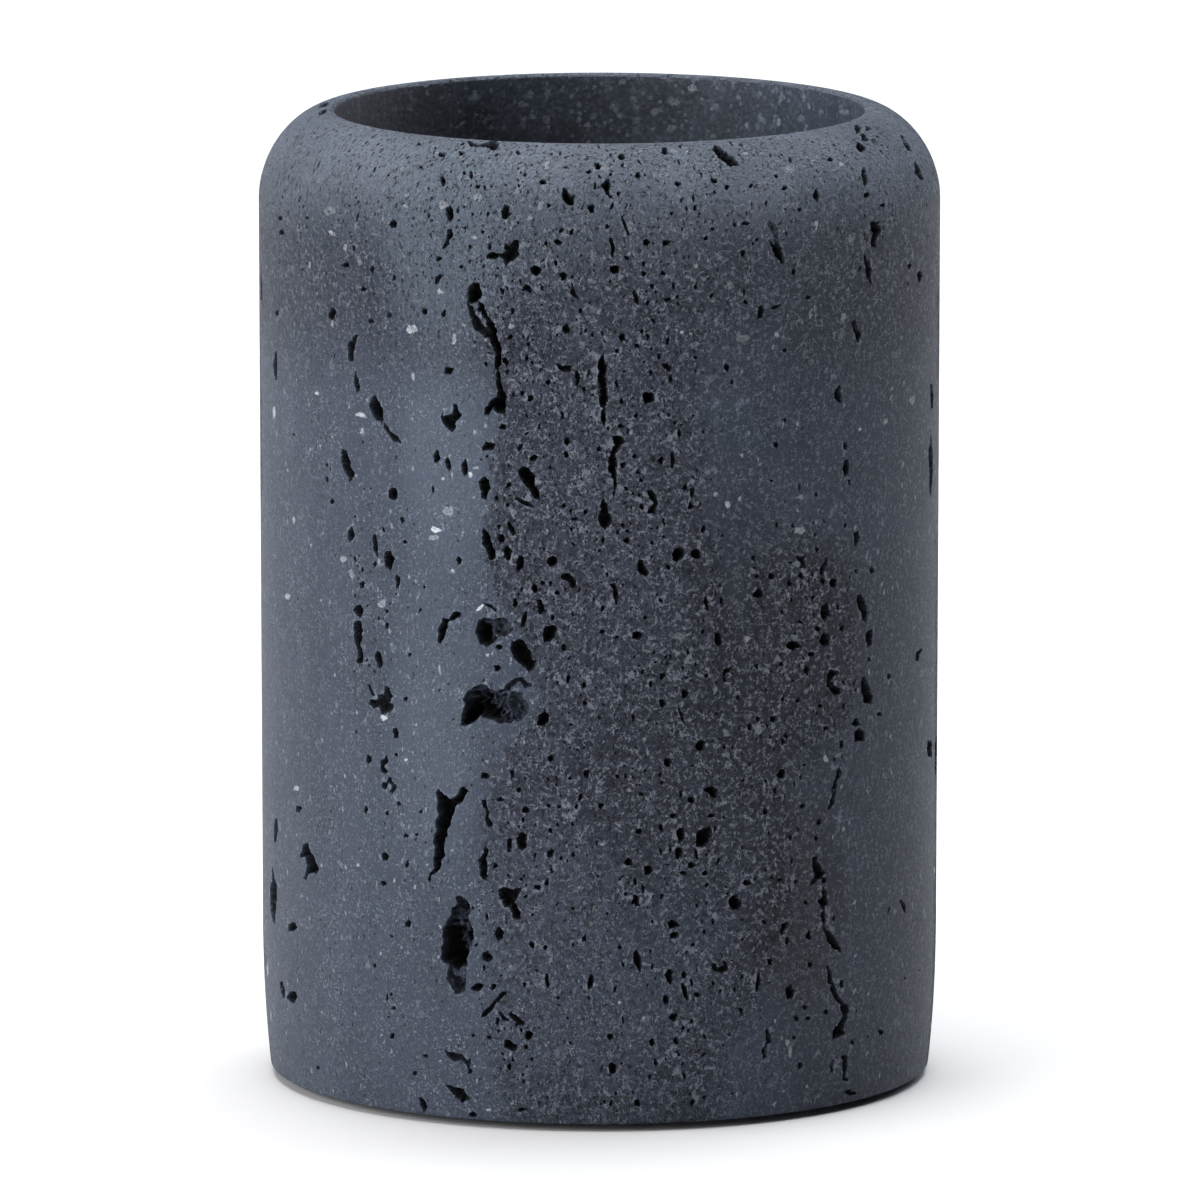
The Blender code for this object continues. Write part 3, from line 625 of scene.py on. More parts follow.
# Smaller pores by the pixel at their middle, with their width and height.
SEEN_PORES = (
    (443, 181, 5, 12), (449, 213, 8, 14), (439, 259, 6, 6), (536, 270, 9, 10), (332, 314, 7, 10),
    (393, 224, 8, 8), (449, 371, 8, 8), (566, 329, 8, 10), (743, 253, 6, 8), (794, 271, 5, 8),
    (614, 269, 10, 8), (667, 243, 9, 6), (647, 242, 6, 6), (727, 368, 6, 8), (649, 398, 11, 11),
    (489, 447, 11, 9), (436, 457, 6, 12), (448, 464, 5, 12), (465, 468, 6, 14), (393, 494, 8, 11),
    (351, 535, 6, 13), (375, 545, 5, 20), (389, 561, 9, 16), (398, 582, 5, 12), (507, 553, 8, 15),
    (552, 561, 9, 12), (359, 611, 9, 11), (379, 659, 6, 16), (396, 733, 6, 12), (697, 554, 10, 9),
    (691, 506, 6, 7), (776, 445, 6, 7), (785, 420, 5, 5), (846, 467, 6, 17), (857, 538, 6, 14),
    (823, 580, 5, 6), (872, 570, 5, 9), (790, 583, 6, 7), (833, 583, 7, 11), (706, 603, 4, 15),
    (825, 612, 9, 16), (826, 640, 10, 14), (793, 645, 14, 9), (637, 636, 10, 8), (807, 670, 6, 10),
    (663, 676, 6, 8), (662, 703, 7, 8), (773, 719, 6, 8), (856, 722, 7, 8), (859, 736, 10, 12),
    (366, 809, 5, 10), (392, 1036, 6, 6), (394, 1008, 5, 5), (587, 774, 6, 10), (591, 982, 6, 16),
    (547, 980, 4, 14), (668, 763, 9, 8), (681, 835, 8, 14), (679, 853, 8, 12), (674, 816, 8, 6),
    (648, 870, 9, 10), (638, 961, 7, 18), (685, 990, 5, 10), (674, 1017, 8, 9), (673, 924, 12, 8),
    (674, 935, 10, 7), (819, 822, 5, 7), (816, 838, 5, 7), (787, 941, 4, 7), (810, 964, 6, 6),
    (809, 936, 6, 9), (613, 1068, 8, 10), (693, 1102, 5, 8), (652, 1043, 7, 8), (747, 883, 9, 7),
    (735, 903, 12, 13), (487, 957, 11, 10), (532, 945, 6, 7), (545, 947, 5, 5), (519, 1024, 6, 5),
    (292, 997, 8, 10), (292, 927, 8, 9), (867, 195, 6, 5), (883, 206, 5, 5), (518, 153, 5, 5),
    (543, 182, 6, 6), (478, 187, 5, 5), (471, 175, 4, 8), (464, 228, 4, 4), (461, 267, 5, 4),
    (346, 265, 7, 5), (372, 270, 4, 8), (364, 289, 5, 6), (371, 321, 6, 6), (389, 315, 4, 7),
    (425, 311, 5, 8), (444, 313, 4, 8), (282, 232, 5, 6), (280, 218, 4, 5), (307, 218, 4, 4),
    (277, 313, 4, 5), (558, 242, 7, 7), (572, 232, 5, 8), (561, 230, 5, 6), (502, 291, 4, 9),
    (563, 276, 7, 8), (522, 394, 6, 6), (510, 337, 5, 5), (505, 362, 6, 8), (526, 358, 5, 6),
    (548, 382, 7, 5), (591, 208, 7, 9), (598, 166, 6, 6), (588, 172, 7, 4), (566, 167, 4, 3),
    (419, 144, 5, 3), (442, 155, 7, 5), (462, 153, 7, 5), (421, 167, 5, 3), (622, 157, 7, 6),
    (638, 175, 6, 6), (665, 151, 6, 8), (679, 184, 7, 6), (714, 180, 8, 5), (727, 187, 6, 5),
    (751, 185, 5, 5), (785, 188, 6, 6), (800, 210, 4, 6), (831, 160, 6, 5), (696, 208, 4, 6),
    (746, 223, 9, 6), (706, 238, 6, 5), (753, 243, 4, 4), (746, 302, 5, 4), (808, 297, 5, 6),
    (910, 266, 4, 6), (622, 338, 6, 8), (637, 346, 6, 6), (648, 337, 5, 6), (617, 351, 6, 5),
    (668, 299, 8, 5), (677, 297, 4, 5), (653, 321, 4, 8), (652, 286, 4, 7), (663, 273, 6, 6),
    (644, 274, 4, 7), (785, 350, 5, 4), (607, 227, 4, 6), (627, 258, 7, 6), (530, 399, 6, 8),
    (503, 427, 8, 7), (294, 435, 3, 3), (327, 465, 3, 4), (327, 479, 3, 9), (332, 502, 4, 6),
    (402, 520, 4, 6), (405, 542, 4, 5), (433, 489, 3, 8), (375, 564, 4, 5), (387, 626, 5, 6),
    (459, 561, 5, 7), (362, 585, 5, 8), (424, 587, 3, 4), (420, 610, 3, 5), (497, 668, 7, 7),
    (499, 647, 8, 5), (499, 527, 6, 5), (501, 538, 7, 9), (520, 564, 8, 13), (535, 589, 6, 10),
    (558, 593, 5, 6), (514, 603, 6, 9), (569, 678, 4, 9), (584, 685, 5, 8), (585, 703, 5, 5),
    (564, 647, 6, 9), (405, 699, 4, 5), (410, 655, 4, 4), (566, 455, 7, 7), (520, 447, 6, 9),
    (534, 458, 8, 6), (567, 442, 6, 9), (575, 519, 8, 5), (564, 506, 6, 5), (621, 426, 6, 5),
    (636, 416, 4, 6), (634, 456, 6, 5), (662, 460, 6, 9), (638, 472, 5, 6), (624, 465, 7, 6),
    (642, 507, 4, 7), (692, 492, 5, 12), (685, 487, 5, 8), (664, 521, 3, 9), (703, 529, 5, 10),
    (627, 541, 7, 7), (653, 543, 6, 4), (664, 537, 4, 4), (668, 567, 5, 8), (603, 608, 5, 8),
    (602, 632, 5, 5), (645, 618, 5, 5), (616, 637, 7, 3), (753, 558, 5, 7), (757, 576, 6, 4),
    (772, 576, 7, 8), (809, 583, 3, 7), (817, 549, 4, 6), (856, 571, 4, 5), (845, 447, 4, 8),
    (849, 482, 3, 8), (799, 487, 3, 6), (816, 494, 4, 5), (772, 481, 4, 3), (793, 526, 4, 5),
    (777, 525, 4, 7), (869, 659, 4, 6), (889, 676, 4, 6), (880, 714, 6, 4), (766, 690, 3, 8),
    (758, 719, 5, 7), (750, 727, 4, 7), (738, 698, 4, 5), (685, 694, 7, 9), (707, 676, 5, 4),
    (551, 759, 6, 7), (512, 774, 4, 9), (486, 776, 9, 6), (519, 790, 5, 6), (500, 800, 7, 6),
    (526, 810, 7, 6), (549, 806, 4, 4), (550, 831, 4, 7), (551, 853, 7, 8), (561, 858, 4, 4),
    (597, 843, 4, 6), (495, 866, 6, 6), (521, 879, 4, 4), (537, 887, 8, 7), (526, 896, 5, 4),
    (477, 987, 12, 8), (493, 986, 5, 7), (529, 1035, 7, 9), (532, 1059, 4, 5), (526, 1047, 4, 6),
    (489, 1037, 5, 5), (473, 1035, 4, 5), (415, 1073, 4, 6), (426, 1056, 5, 3), (375, 966, 4, 5),
    (392, 936, 4, 4), (408, 924, 5, 8), (383, 883, 6, 6), (385, 856, 7, 9), (407, 864, 4, 8),
    (406, 836, 5, 5), (417, 834, 4, 4), (387, 813, 4, 5), (399, 804, 5, 5), (421, 811, 4, 5),
    (369, 759, 5, 8), (396, 755, 4, 5), (299, 809, 6, 8), (318, 1068, 4, 5), (522, 1110, 8, 4),
    (601, 806, 5, 8), (641, 794, 6, 4), (662, 783, 4, 5), (691, 800, 7, 7), (661, 828, 5, 8),
    (639, 832, 9, 6), (712, 816, 7, 5), (775, 791, 4, 7), (781, 774, 8, 8), (804, 765, 4, 4),
    (629, 862, 7, 8), (692, 865, 10, 6), (683, 873, 8, 4), (705, 873, 7, 6), (707, 885, 5, 5),
    (697, 906, 4, 4), (684, 975, 6, 7), (698, 995, 7, 6), (666, 1000, 6, 8), (692, 1021, 4, 6),
    (676, 1041, 5, 8), (611, 1037, 7, 6), (655, 1063, 5, 9), (650, 1077, 4, 6), (638, 1103, 6, 9),
    (796, 1018, 5, 7), (808, 1018, 5, 5), (805, 1007, 6, 5), (794, 1038, 4, 5), (881, 1032, 6, 6),
    (905, 978, 3, 4), (473, 1115, 8, 5), (801, 575, 5, 6), (813, 598, 5, 7), (818, 628, 6, 6),
    (838, 606, 5, 8), (800, 622, 5, 5), (783, 612, 4, 6), (842, 628, 5, 6), (812, 654, 6, 5),
    (781, 664, 5, 6), (820, 706, 5, 6), (797, 700, 5, 5), (844, 706, 4, 7), (842, 744, 5, 8),
    (826, 728, 4, 6), (783, 742, 5, 6), (802, 806, 5, 5), (765, 812, 5, 7), (790, 838, 4, 6),
    (824, 880, 5, 6), (806, 902, 4, 6), (834, 918, 4, 7), (780, 880, 5, 5), (770, 962, 6, 7),
    (842, 984, 5, 8), (826, 1012, 5, 6), (852, 1042, 5, 6), (800, 1066, 5, 7), (741, 1010, 5, 6),
)

# Mineral flecks that stand out, by the pixel at their middle, width, height, lean in degrees, and
# how bright each is.
SEEN_FLECKS = (
    (436, 530, 12, 7, 10, 1.0), (435, 538, 12, 6, 0, 0.35), (480, 608, 11, 6, -40, 1.0),
    (412, 330, 10, 9, 10, 0.8), (384, 718, 8, 7, 0, 0.95), (448, 511, 12, 12, 0, 0.35),
    (381, 604, 10, 9, 0, 0.4), (361, 415, 12, 7, 5, 0.7), (317, 394, 5, 5, 0, 0.7),
    (274, 412, 3, 12, 0, 0.6), (351, 575, 5, 12, -15, 0.3), (343, 559, 8, 6, 20, 0.35),
    (294, 519, 4, 9, 0, 0.45), (452, 571, 5, 6, 0, 0.6), (470, 475, 5, 5, 0, 0.8),
    (476, 468, 9, 4, 0, 0.5), (443, 478, 4, 4, 0, 0.7), (362, 430, 6, 8, 0, 0.5),
    (288, 596, 6, 7, 0, 0.5), (440, 669, 3, 14, -10, 0.35), (464, 325, 5, 5, 0, 0.95),
    (455, 338, 5, 14, 8, 0.7), (474, 237, 8, 4, 10, 0.7), (440, 292, 6, 7, 0, 0.8),
    (443, 205, 9, 10, 20, 0.4), (310, 266, 3, 9, 0, 0.7), (332, 324, 4, 10, 0, 0.5),
    (413, 376, 5, 10, 0, 0.5), (359, 261, 6, 11, -15, 0.35), (345, 247, 5, 8, 0, 0.55),
    (332, 233, 8, 6, 30, 0.65), (330, 211, 12, 9, 0, 0.3), (816, 225, 5, 10, 0, 0.85),
    (851, 237, 7, 9, 0, 0.4), (789, 169, 10, 8, 0, 0.35), (664, 175, 9, 7, 0, 0.4),
    (696, 266, 4, 6, 15, 0.7), (730, 285, 9, 10, 0, 0.3), (777, 335, 8, 8, 0, 0.5),
    (844, 316, 6, 10, 10, 0.4), (773, 347, 3, 7, 10, 0.45), (841, 164, 6, 5, -20, 0.65),
    (860, 429, 4, 5, 0, 0.75), (800, 531, 9, 9, 0, 0.45), (727, 504, 7, 8, 0, 0.6),
    (742, 455, 5, 5, 0, 0.45), (747, 639, 6, 6, 0, 0.55), (679, 636, 14, 8, 0, 0.2),
    (748, 704, 10, 9, 0, 0.25), (885, 421, 6, 8, 0, 0.35), (800, 497, 8, 6, 0, 0.3),
    (912, 401, 7, 10, 0, 0.3), (682, 332, 5, 4, 0, 0.8), (690, 334, 4, 4, 0, 0.7),
    (742, 338, 14, 7, 0, 0.22), (694, 345, 8, 8, 0, 0.2), (628, 254, 7, 5, -30, 0.5),
    (512, 326, 8, 8, 0, 0.45), (529, 218, 8, 6, -20, 0.45), (541, 205, 9, 9, 0, 0.35),
    (407, 194, 5, 9, 0, 0.5), (405, 206, 8, 4, 0, 0.5), (478, 197, 9, 9, 0, 0.35),
    (548, 165, 9, 6, -30, 0.45), (687, 152, 5, 4, 0, 0.7), (745, 154, 7, 4, 0, 0.5),
    (790, 1052, 4, 14, 5, 0.3), (787, 1043, 5, 8, 0, 0.35), (406, 759, 4, 4, 0, 0.9),
    (296, 788, 6, 5, 0, 0.6), (358, 865, 4, 4, 0, 0.5), (825, 759, 6, 9, -20, 0.5),
    (488, 1110, 7, 4, 0, 0.5), (579, 888, 3, 5, 15, 0.6), (602, 844, 5, 3, 0, 0.5),
    (629, 790, 7, 5, 0, 0.4), (463, 602, 4, 2, 30, 0.4), (470, 605, 7, 2, 30, 0.4),
    (487, 655, 4, 4, 0, 0.6), (492, 654, 4, 4, 0, 0.6),
)

# The same for the far side of the bore, where the photograph looks in.
SEEN_BORE_FLECKS = (
    (693, 88, 9, 11, 0, 0.6), (779, 123, 5, 9, 0, 0.55), (747, 126, 4, 7, 0, 0.5),
    (427, 93, 5, 7, 0, 0.5), (409, 107, 7, 8, 20, 0.3), (462, 124, 8, 6, -30, 0.35),
    (523, 104, 12, 8, 15, 0.3), (587, 125, 9, 6, 0, 0.35), (547, 119, 9, 10, 10, 0.3),
    (616, 111, 6, 8, 0, 0.3), (654, 112, 9, 11, 0, 0.3), (728, 84, 5, 6, 0, 0.5),
    (845, 112, 9, 9, 0, 0.35), (841, 106, 5, 6, 0, 0.3), (782, 98, 7, 9, 30, 0.35),
    (804, 97, 5, 10, 0, 0.4), (809, 106, 4, 7, 0, 0.35), (801, 118, 7, 7, 0, 0.3),
    (821, 112, 6, 6, 0, 0.3), (448, 81, 8, 4, 0, 0.4), (475, 92, 5, 5, 0, 0.35),
    (600, 103, 8, 4, 0, 0.3), (633, 99, 5, 5, 0, 0.3), (672, 103, 6, 7, 0, 0.3),
    (712, 108, 5, 5, 0, 0.35), (739, 97, 6, 6, 0, 0.3), (563, 87, 6, 4, 0, 0.3),
    (510, 84, 5, 4, 0, 0.3),
)

# Where the front turns from smooth to rough stone: the pixel's y, and x of the left and right edge.
ROUGH_BAND = (
    (130, 400, 800), (160, 425, 760), (200, 445, 730), (300, 468, 715), (400, 500, 705),
    (480, 492, 700), (560, 484, 715), (620, 515, 735), (700, 540, 760), (780, 490, 790),
    (860, 472, 790), (950, 478, 780), (1040, 478, 740), (1110, 500, 720),
)
BAND_EDGE = (2.4, 9.0)  # how wide the change is on the left and on the right
SHARP_FROM = (28.0, 52.0)  # the left edge turns sharp between these distances up the section
# Soft patches that are rougher, calmer or browner than the rest, darker with painted shade, or paler
# with painted light: the pixel at their middle, half their width, half their height, and by how much.
ROUGH_PATCHES = (
    (800, 650, 130, 190, 0.75), (700, 840, 70, 60, 0.4), (380, 150, 90, 40, 0.6),
    (850, 190, 110, 110, 0.6), (370, 620, 60, 260, 0.3),
)
CALM_PATCHES = ((560, 960, 260, 250, 0.5),)
SHADE_PATCHES = (
    (870, 430, 220, 290, 0.9), (845, 690, 240, 330, 1.2), (870, 960, 230, 300, 1.25),
    (745, 640, 110, 260, 1.4), (810, 900, 95, 190, 1.9), (650, 790, 120, 200, 0.9),
    (680, 270, 150, 80, 0.5), (351, 560, 42, 260, 0.25),
)
LIT_PATCHES = ((440, 235, 95, 150, 1.7), (445, 450, 75, 190, 0.7), (435, 700, 70, 230, 0.5))
WARM_PATCHES = (
    (810, 640, 90, 110, 1.0), (700, 840, 50, 40, 0.8), (770, 800, 90, 90, 0.5), (650, 540, 60, 40, 0.4),
    (800, 950, 70, 130, 0.9),
)

# Large pores of the sides and back, as the part has them: place round the body in turns, place up
# it, width as a share of the diameter, height as a share of the body's, and lean in turns.
BACK_PORE_SHARES = (
    (0.212, 0.64, 0.026, 0.07, 0.01), (0.236, 0.33, 0.044, 0.05, -0.02),
    (0.262, 0.79, 0.02, 0.034, 0.0), (0.301, 0.52, 0.022, 0.06, 0.03), (0.334, 0.215, 0.034, 0.08, 0.0),
    (0.352, 0.7, 0.05, 0.034, -0.02), (0.398, 0.45, 0.018, 0.078, 0.01),
    (0.432, 0.835, 0.03, 0.036, 0.02), (0.467, 0.3, 0.062, 0.044, 0.01),
    (0.494, 0.61, 0.022, 0.084, -0.01), (0.538, 0.155, 0.028, 0.05, 0.0),
    (0.571, 0.76, 0.02, 0.06, -0.03), (0.612, 0.48, 0.048, 0.052, 0.02),
    (0.648, 0.27, 0.022, 0.048, 0.0), (0.692, 0.66, 0.03, 0.04, 0.01), (0.735, 0.4, 0.02, 0.07, -0.01),
    (0.771, 0.82, 0.024, 0.034, 0.02), (0.794, 0.19, 0.036, 0.06, 0.0),
)
SEEN_TURN = 50.0  # how far round the unrolled body the photograph shows
UNSEEN_TURN = 58.0  # and from where on it shows nothing
SEEN_SWELL = 1.14  # how much wider small pores are cut than their dark core
LINE_DEPTH, SMALL_DEPTH = 1.2, 1.1  # how deep cracks and small pores are against their size
BACK_SHIFT = 4.3  # the back repeats the front's smaller pores upside down, so far off half a turn
REPEATED_WIDTH = 1.5  # the widest of them
BACK_PORES = 60
BACK_PORE_SIZES = (0.45, 1.3)
BACK_FLECKS = 90
BACK_FLECK_SIZES = (0.4, 1.1)
FINE_CLUSTERS = 2650
CLUSTER_SIZES = (1, 1, 2, 3, 4)
CLUSTER_SPREAD = (0.45, 0.7)  # across and up
STREAK_ACROSS, STREAK_UP, STREAK_LAYER = 0.5, 0.09, 3.1  # of the noise that lines them up
UNSEEN_SHARE = 0.55  # how likely they are behind, against the front
PLAIN_WIDTH = 0.36  # narrower fine pores have a single point inside
SHOULDER_CRUMBLE = 0.6  # how rough the shoulder counts as for them
SHOULDER_REACH = (24, 6)  # how far below the crest that begins, and from where on it is whole


def band_side(column):
    """One side of the front's rough band: distances up the section, and how far round it lies."""
    places = [seen_place(row[column], row[0]) for row in ROUGH_BAND[::-1]]
    return np.array([(place[1], place[0]) for place in places]).T


def patch_places(patches):
    """Soft patches as (place, half sizes, strength) on the unrolled body."""
    return [(seen_place(x, y), np.array([wide, tall]) * PIXEL_SIZE, strength)
            for x, y, wide, tall, strength in patches]


BAND_LEFT, BAND_RIGHT = band_side(1), band_side(2)
ROUGH_PLACES, CALM_PLACES, WARM_PLACES, SHADE_PLACES, LIT_PLACES = map(
    patch_places, (ROUGH_PATCHES, CALM_PATCHES, WARM_PATCHES, SHADE_PATCHES, LIT_PATCHES))


def soft_step(value, low, high):
    share = np.clip((value - low) / (high - low), 0, 1)
    return share * share * (3 - 2 * share)


PATCH_CORE = 0.35  # the share of a patch's radius within which it has its full strength


def patch_value(points, places):
    """The strongest of some soft patches at each point."""
    value = np.zeros(len(points))
    for place, half, strength in places:
        away = np.linalg.norm((points - place) / half, axis=1)
        value = np.maximum(value, strength * soft_step(away, 1, PATCH_CORE))
    return value


def turned_round(points):
    """A patch's places of the front carried to the back, upside down."""
    around = points[:, 0] + HALF_TURN + BACK_SHIFT
    around -= 2 * HALF_TURN * round(around.mean() / (2 * HALF_TURN))
    return np.array([around, outline.wall_start + outline.crest - points[:, 1]]).T


# Layers of the slow noise, each for one use
BACK_LAYER, EDGE_LAYER, BACK_EDGE_LAYER, BACK_FRAY_LAYER, WARM_LAYER = 3.0, 11.0, 13.0, 17.0, 21.0


def drift(points, wide, tall, layer):
    """A slow noise from 0 to 1 round the whole body, without a seam, in lumps so wide and so tall."""
    turn = points[:, 0] / UNROLLED
    spots = np.array([np.sin(turn) * UNROLLED / wide, np.cos(turn) * UNROLLED / wide,
                      points[:, 1] / tall]).T
    return np.array([0.5 + 0.5 * noise.noise(Vector(spot) + Vector((layer, 0, 0))) for spot in spots])


def sway(points, wide, tall, layer):
    """The same about 0."""
    return drift(points, wide, tall, layer) - 0.5


def band_at(points):
    """How rough the stone is, as if the front's rough band were the only rough stone."""
    around, up = points.T
    frayed = 1.6 * sway(points, 2.2, 3.5, EDGE_LAYER)
    left, right = np.interp(up, *BAND_LEFT), np.interp(up, *BAND_RIGHT)
    soft = np.interp(up, SHARP_FROM, (3.2 * BAND_EDGE[0], BAND_EDGE[0]))
    front = soft_step((around - left + frayed) / soft, -0.5, 0.5)
    return front * soft_step(right - around + 2 * frayed, -BAND_EDGE[1] / 2, BAND_EDGE[1] / 2)


def roughness_at(points):
    """How rough the stone is, from 0 where it is honed to 1 where it crumbles."""
    around, up = points.T
    front = band_at(points) * (1 - patch_value(points, CALM_PLACES))
    front = np.maximum(front, patch_value(points, ROUGH_PLACES))
    opposite = np.array([around % (2 * HALF_TURN) - HALF_TURN - BACK_SHIFT,
                         outline.wall_start + outline.crest - up]).T
    frayed = 0.35 * sway(points, 2.2, 4, BACK_FRAY_LAYER) + 0.6 * sway(points, 6, 14, BACK_EDGE_LAYER)
    crumbled = soft_step(drift(points, 15, 55, BACK_LAYER) + frayed, 0.44, 0.66)
    back = np.maximum(0.8 * band_at(opposite), crumbled)
    unseen = soft_step(np.abs(around), SEEN_TURN, UNSEEN_TURN)
    return np.where(up > outline.crest, 0, front * (1 - unseen) + back * unseen)


def warmth_at(points):
    """How much brown there is in the stone."""
    unseen = soft_step(np.abs(points[:, 0]), SEEN_TURN, UNSEEN_TURN)
    behind = 0.6 * unseen * soft_step(drift(points, 20, 40, WARM_LAYER), 0.5, 0.75)
    return np.maximum(patch_value(points, WARM_PLACES), behind)


BAND_STEP = 0.5  # between these points


def band_edge_points():
    """Points on both sides of the sharp edge of the front's rough band, so that the mesh carries it."""
    heights = np.arange(BAND_LEFT[0, 0], outline.crest - 1, BAND_STEP)
    middle = np.interp(heights, *BAND_LEFT)
    half = BAND_EDGE[0] / 2
    return np.concatenate([np.array([middle + side * half, heights]).T for side in (-1, 0, 1)])


class Ground:
    """What is still free of pores and flecks, in small squares of the unrolled body."""

    SQUARE = 0.3

    def __init__(self):
        self.taken = set()

    def squares(self, points):
        return {(int(x // self.SQUARE), int(y // self.SQUARE)) for x, y in points}

    def take(self, patch):
        self.taken |= self.squares(patch.rim) | self.squares(patch.inner)

    def take_if_free(self, patches, patch):
        """Add a patch to the others if it is clear of them and of the seam."""
        if patch.is_clear_of_seam() and not self.squares(patch.rim) & self.taken:
            self.take(patch)
            patches.append(patch)


def seen_patches(dice):
    """The pores and flecks that the photograph shows, and the part's large pores elsewhere."""
    loops = [(seen_loop(corners, grown=WORN_EDGE), deep) for deep, *corners in SEEN_SHAPES.values()]
    loops += [(seen_loop(ribbon(path), jag=SMALL_JAG, grown=WORN_EDGE), LINE_DEPTH)
              for path in SEEN_LINES]
    for x, y, wide, tall in SEEN_PORES:
        shape = blob(wide * SEEN_SWELL, tall * SEEN_SWELL, dice.uniform(-12, 12), dice)
        corners = [(x + right, y + down) for right, down in shape]
        loops.append((seen_loop(corners, jag=SMALL_JAG), SMALL_DEPTH))
    for turn_share, height_share, wide, tall, lean in BACK_PORE_SHARES:
        x = (turn_share - round(turn_share)) * math.tau * UNROLLED
        y = outline.nearest(BODY_DIAMETER / 2, BODY_HEIGHT * height_share)
        loop = back_loop(x, y, BODY_DIAMETER * wide, BODY_HEIGHT * tall, lean * 360, dice)
        loops.append((loop, 1.0))
    pores = [Pore(loop, dice, deep) for loop, deep in loops if loop is not None]
    found = []
    for in_bore, table in ((False, SEEN_FLECKS), (True, SEEN_BORE_FLECKS)):
        for x, y, wide, tall, lean, bright in table:
            corners = [(x + right, y + down) for right, down in blob(wide, tall, lean, dice, 0.3)]
            loop = seen_loop(corners, in_bore, SMALL_JAG)
            if loop is not None:
                found.append(Fleck(loop, dice, bright))
    found = [fleck for fleck in found if fleck.is_clear_of_seam()]
    return pores, found


def back_loop(x, y, wide, tall, lean, dice):
    """A ragged loop of a size at a place of the unrolled body."""
    sized = blob(wide / PIXEL_SIZE, tall / PIXEL_SIZE, lean, dice, 0.28)
    return ragged([(x + right * PIXEL_SIZE, y + up * PIXEL_SIZE) for right, up in sized], SIDE, JAG)


def unseen_place(dice):
    """A chance place on the part of the wall that the photograph doesn't show."""
    x = dice.uniform(SEEN_TURN, HALF_TURN - 1) * dice.choice((-1, 1))
    return x, outline.wall_start + (outline.crest - outline.wall_start) * dice.uniform(0.02, 0.97)


def stone_patches(dice):
    """Every pore and fleck of the body: seen ones, likely ones behind, and fine ones all over."""
    pores, found = seen_patches(dice)
    ground = Ground()
    for patch in pores + found:
        ground.take(patch)
    for pore in [pore for pore in pores if pore.is_repeated()]:
        ground.take_if_free(pores, Pore(turned_round(pore.rim)[::-1], dice))
    all_flecks = len(found) + BACK_FLECKS
    while len(found) < all_flecks:
        x, y = unseen_place(dice)
        size = dice.uniform(*BACK_FLECK_SIZES)
        loop = back_loop(x, y, size, size * dice.uniform(0.8, 1.7), dice.uniform(-40, 40), dice)
        ground.take_if_free(found, Fleck(loop, dice, dice.uniform(0.3, 1.0)))
    large = len(pores) + BACK_PORES
    while len(pores) < large:
        x, y = unseen_place(dice)
        if roughness_at(np.array([[x, y]]))[0] > dice.uniform(-0.12, 0.9):
            size = dice.uniform(*BACK_PORE_SIZES)
            loop = back_loop(x, y, size, size * dice.uniform(0.8, 2.2), dice.uniform(-15, 15), dice)
            ground.take_if_free(pores, Pore(loop, dice))
    return fine_pores(pores, ground, dice), found


def fine_pores(pores, ground, dice):
    """Fine pores in upright streaks and small clusters, thickest where the stone is rough."""
    clusters = 0
    while clusters < FINE_CLUSTERS:
        x = dice.uniform(1 - HALF_TURN, HALF_TURN - 1)
        y = outline.wall_start + (outline.crest - outline.wall_start) * dice.uniform(0.01, 0.99)
        streak = 0.5 + 0.8 * noise.noise(Vector((x * STREAK_ACROSS, y * STREAK_UP, STREAK_LAYER)))
        streak *= UNSEEN_SHARE if abs(x) > UNSEEN_TURN else 1
        begin, whole = (outline.crest - below for below in SHOULDER_REACH)
        crumbling = max(roughness_at(np.array([[x, y]]))[0],
                        SHOULDER_CRUMBLE * soft_step(y, begin, whole))
        if (0.09 + 0.91 * crumbling) * streak < dice.uniform(0.05, 0.75):
            continue
        clusters += 1
        for _ in range(dice.choice(CLUSTER_SIZES)):
            wide = 0.2 + 0.3 * dice.random()**2
            tall = wide * dice.uniform(0.8, 2.4)
            corners = blob(wide, tall, dice.gauss(0, 14), dice, 0.3)
            middle = x + dice.gauss(0, CLUSTER_SPREAD[0]), y + dice.gauss(0, CLUSTER_SPREAD[1])
            places = [(middle[0] + right, middle[1] + up) for right, up in corners]
            loop = ragged(places, SIDE, SMALL_JAG)
            if loop[:, 1].max() < outline.crest and loop[:, 1].min() > outline.wall_start:
                ground.take_if_free(pores, Pore(loop, dice, SMALL_DEPTH, plain=wide < PLAIN_WIDTH))
    return pores


COLUMNS = 160
FLOOR_ROWS = 10
FLOOR_RINGS = (0.75, 0.5, 0.25)  # radii of the bore's floor, the recess's wall and its ceiling
RECESS_RINGS = (0.5, 1)
CEILING_RINGS = (0.7, 0.4)
BORE_START = 0.2  # how far above the lip's end the bore's finish begins
CREASE = math.radians(34)  # from this angle on, an edge stays sharp
GRID_GAP = 0.12  # how near to a rim a point of the plain mesh may lie
NEAR = 1e-4  # places no farther apart than this are the same


def plain_grid(patches):
    """Points of the wall between pores and flecks, with the seam's and the edges' rows whole."""
    xs = np.linspace(-HALF_TURN, HALF_TURN, COLUMNS + 1)
    points = np.array([(x, y) for y in outline.rows for x in xs])
    points = np.concatenate([points, band_edge_points()])
    keep = np.ones(len(points), bool)
    for patch in patches:
        near = patch.near(points, GRID_GAP)
        if len(near):
            inside, away = inside_and_away(patch.rim, points[near])
            keep[near[inside | (away < GRID_GAP)]] = False
    fixed = (np.abs(points[:, 0]) > HALF_TURN - 1e-6) | (points[:, 1] < 1e-6)
    fixed |= points[:, 1] > outline.reach[-1] - 1e-6
    return points[keep | fixed]


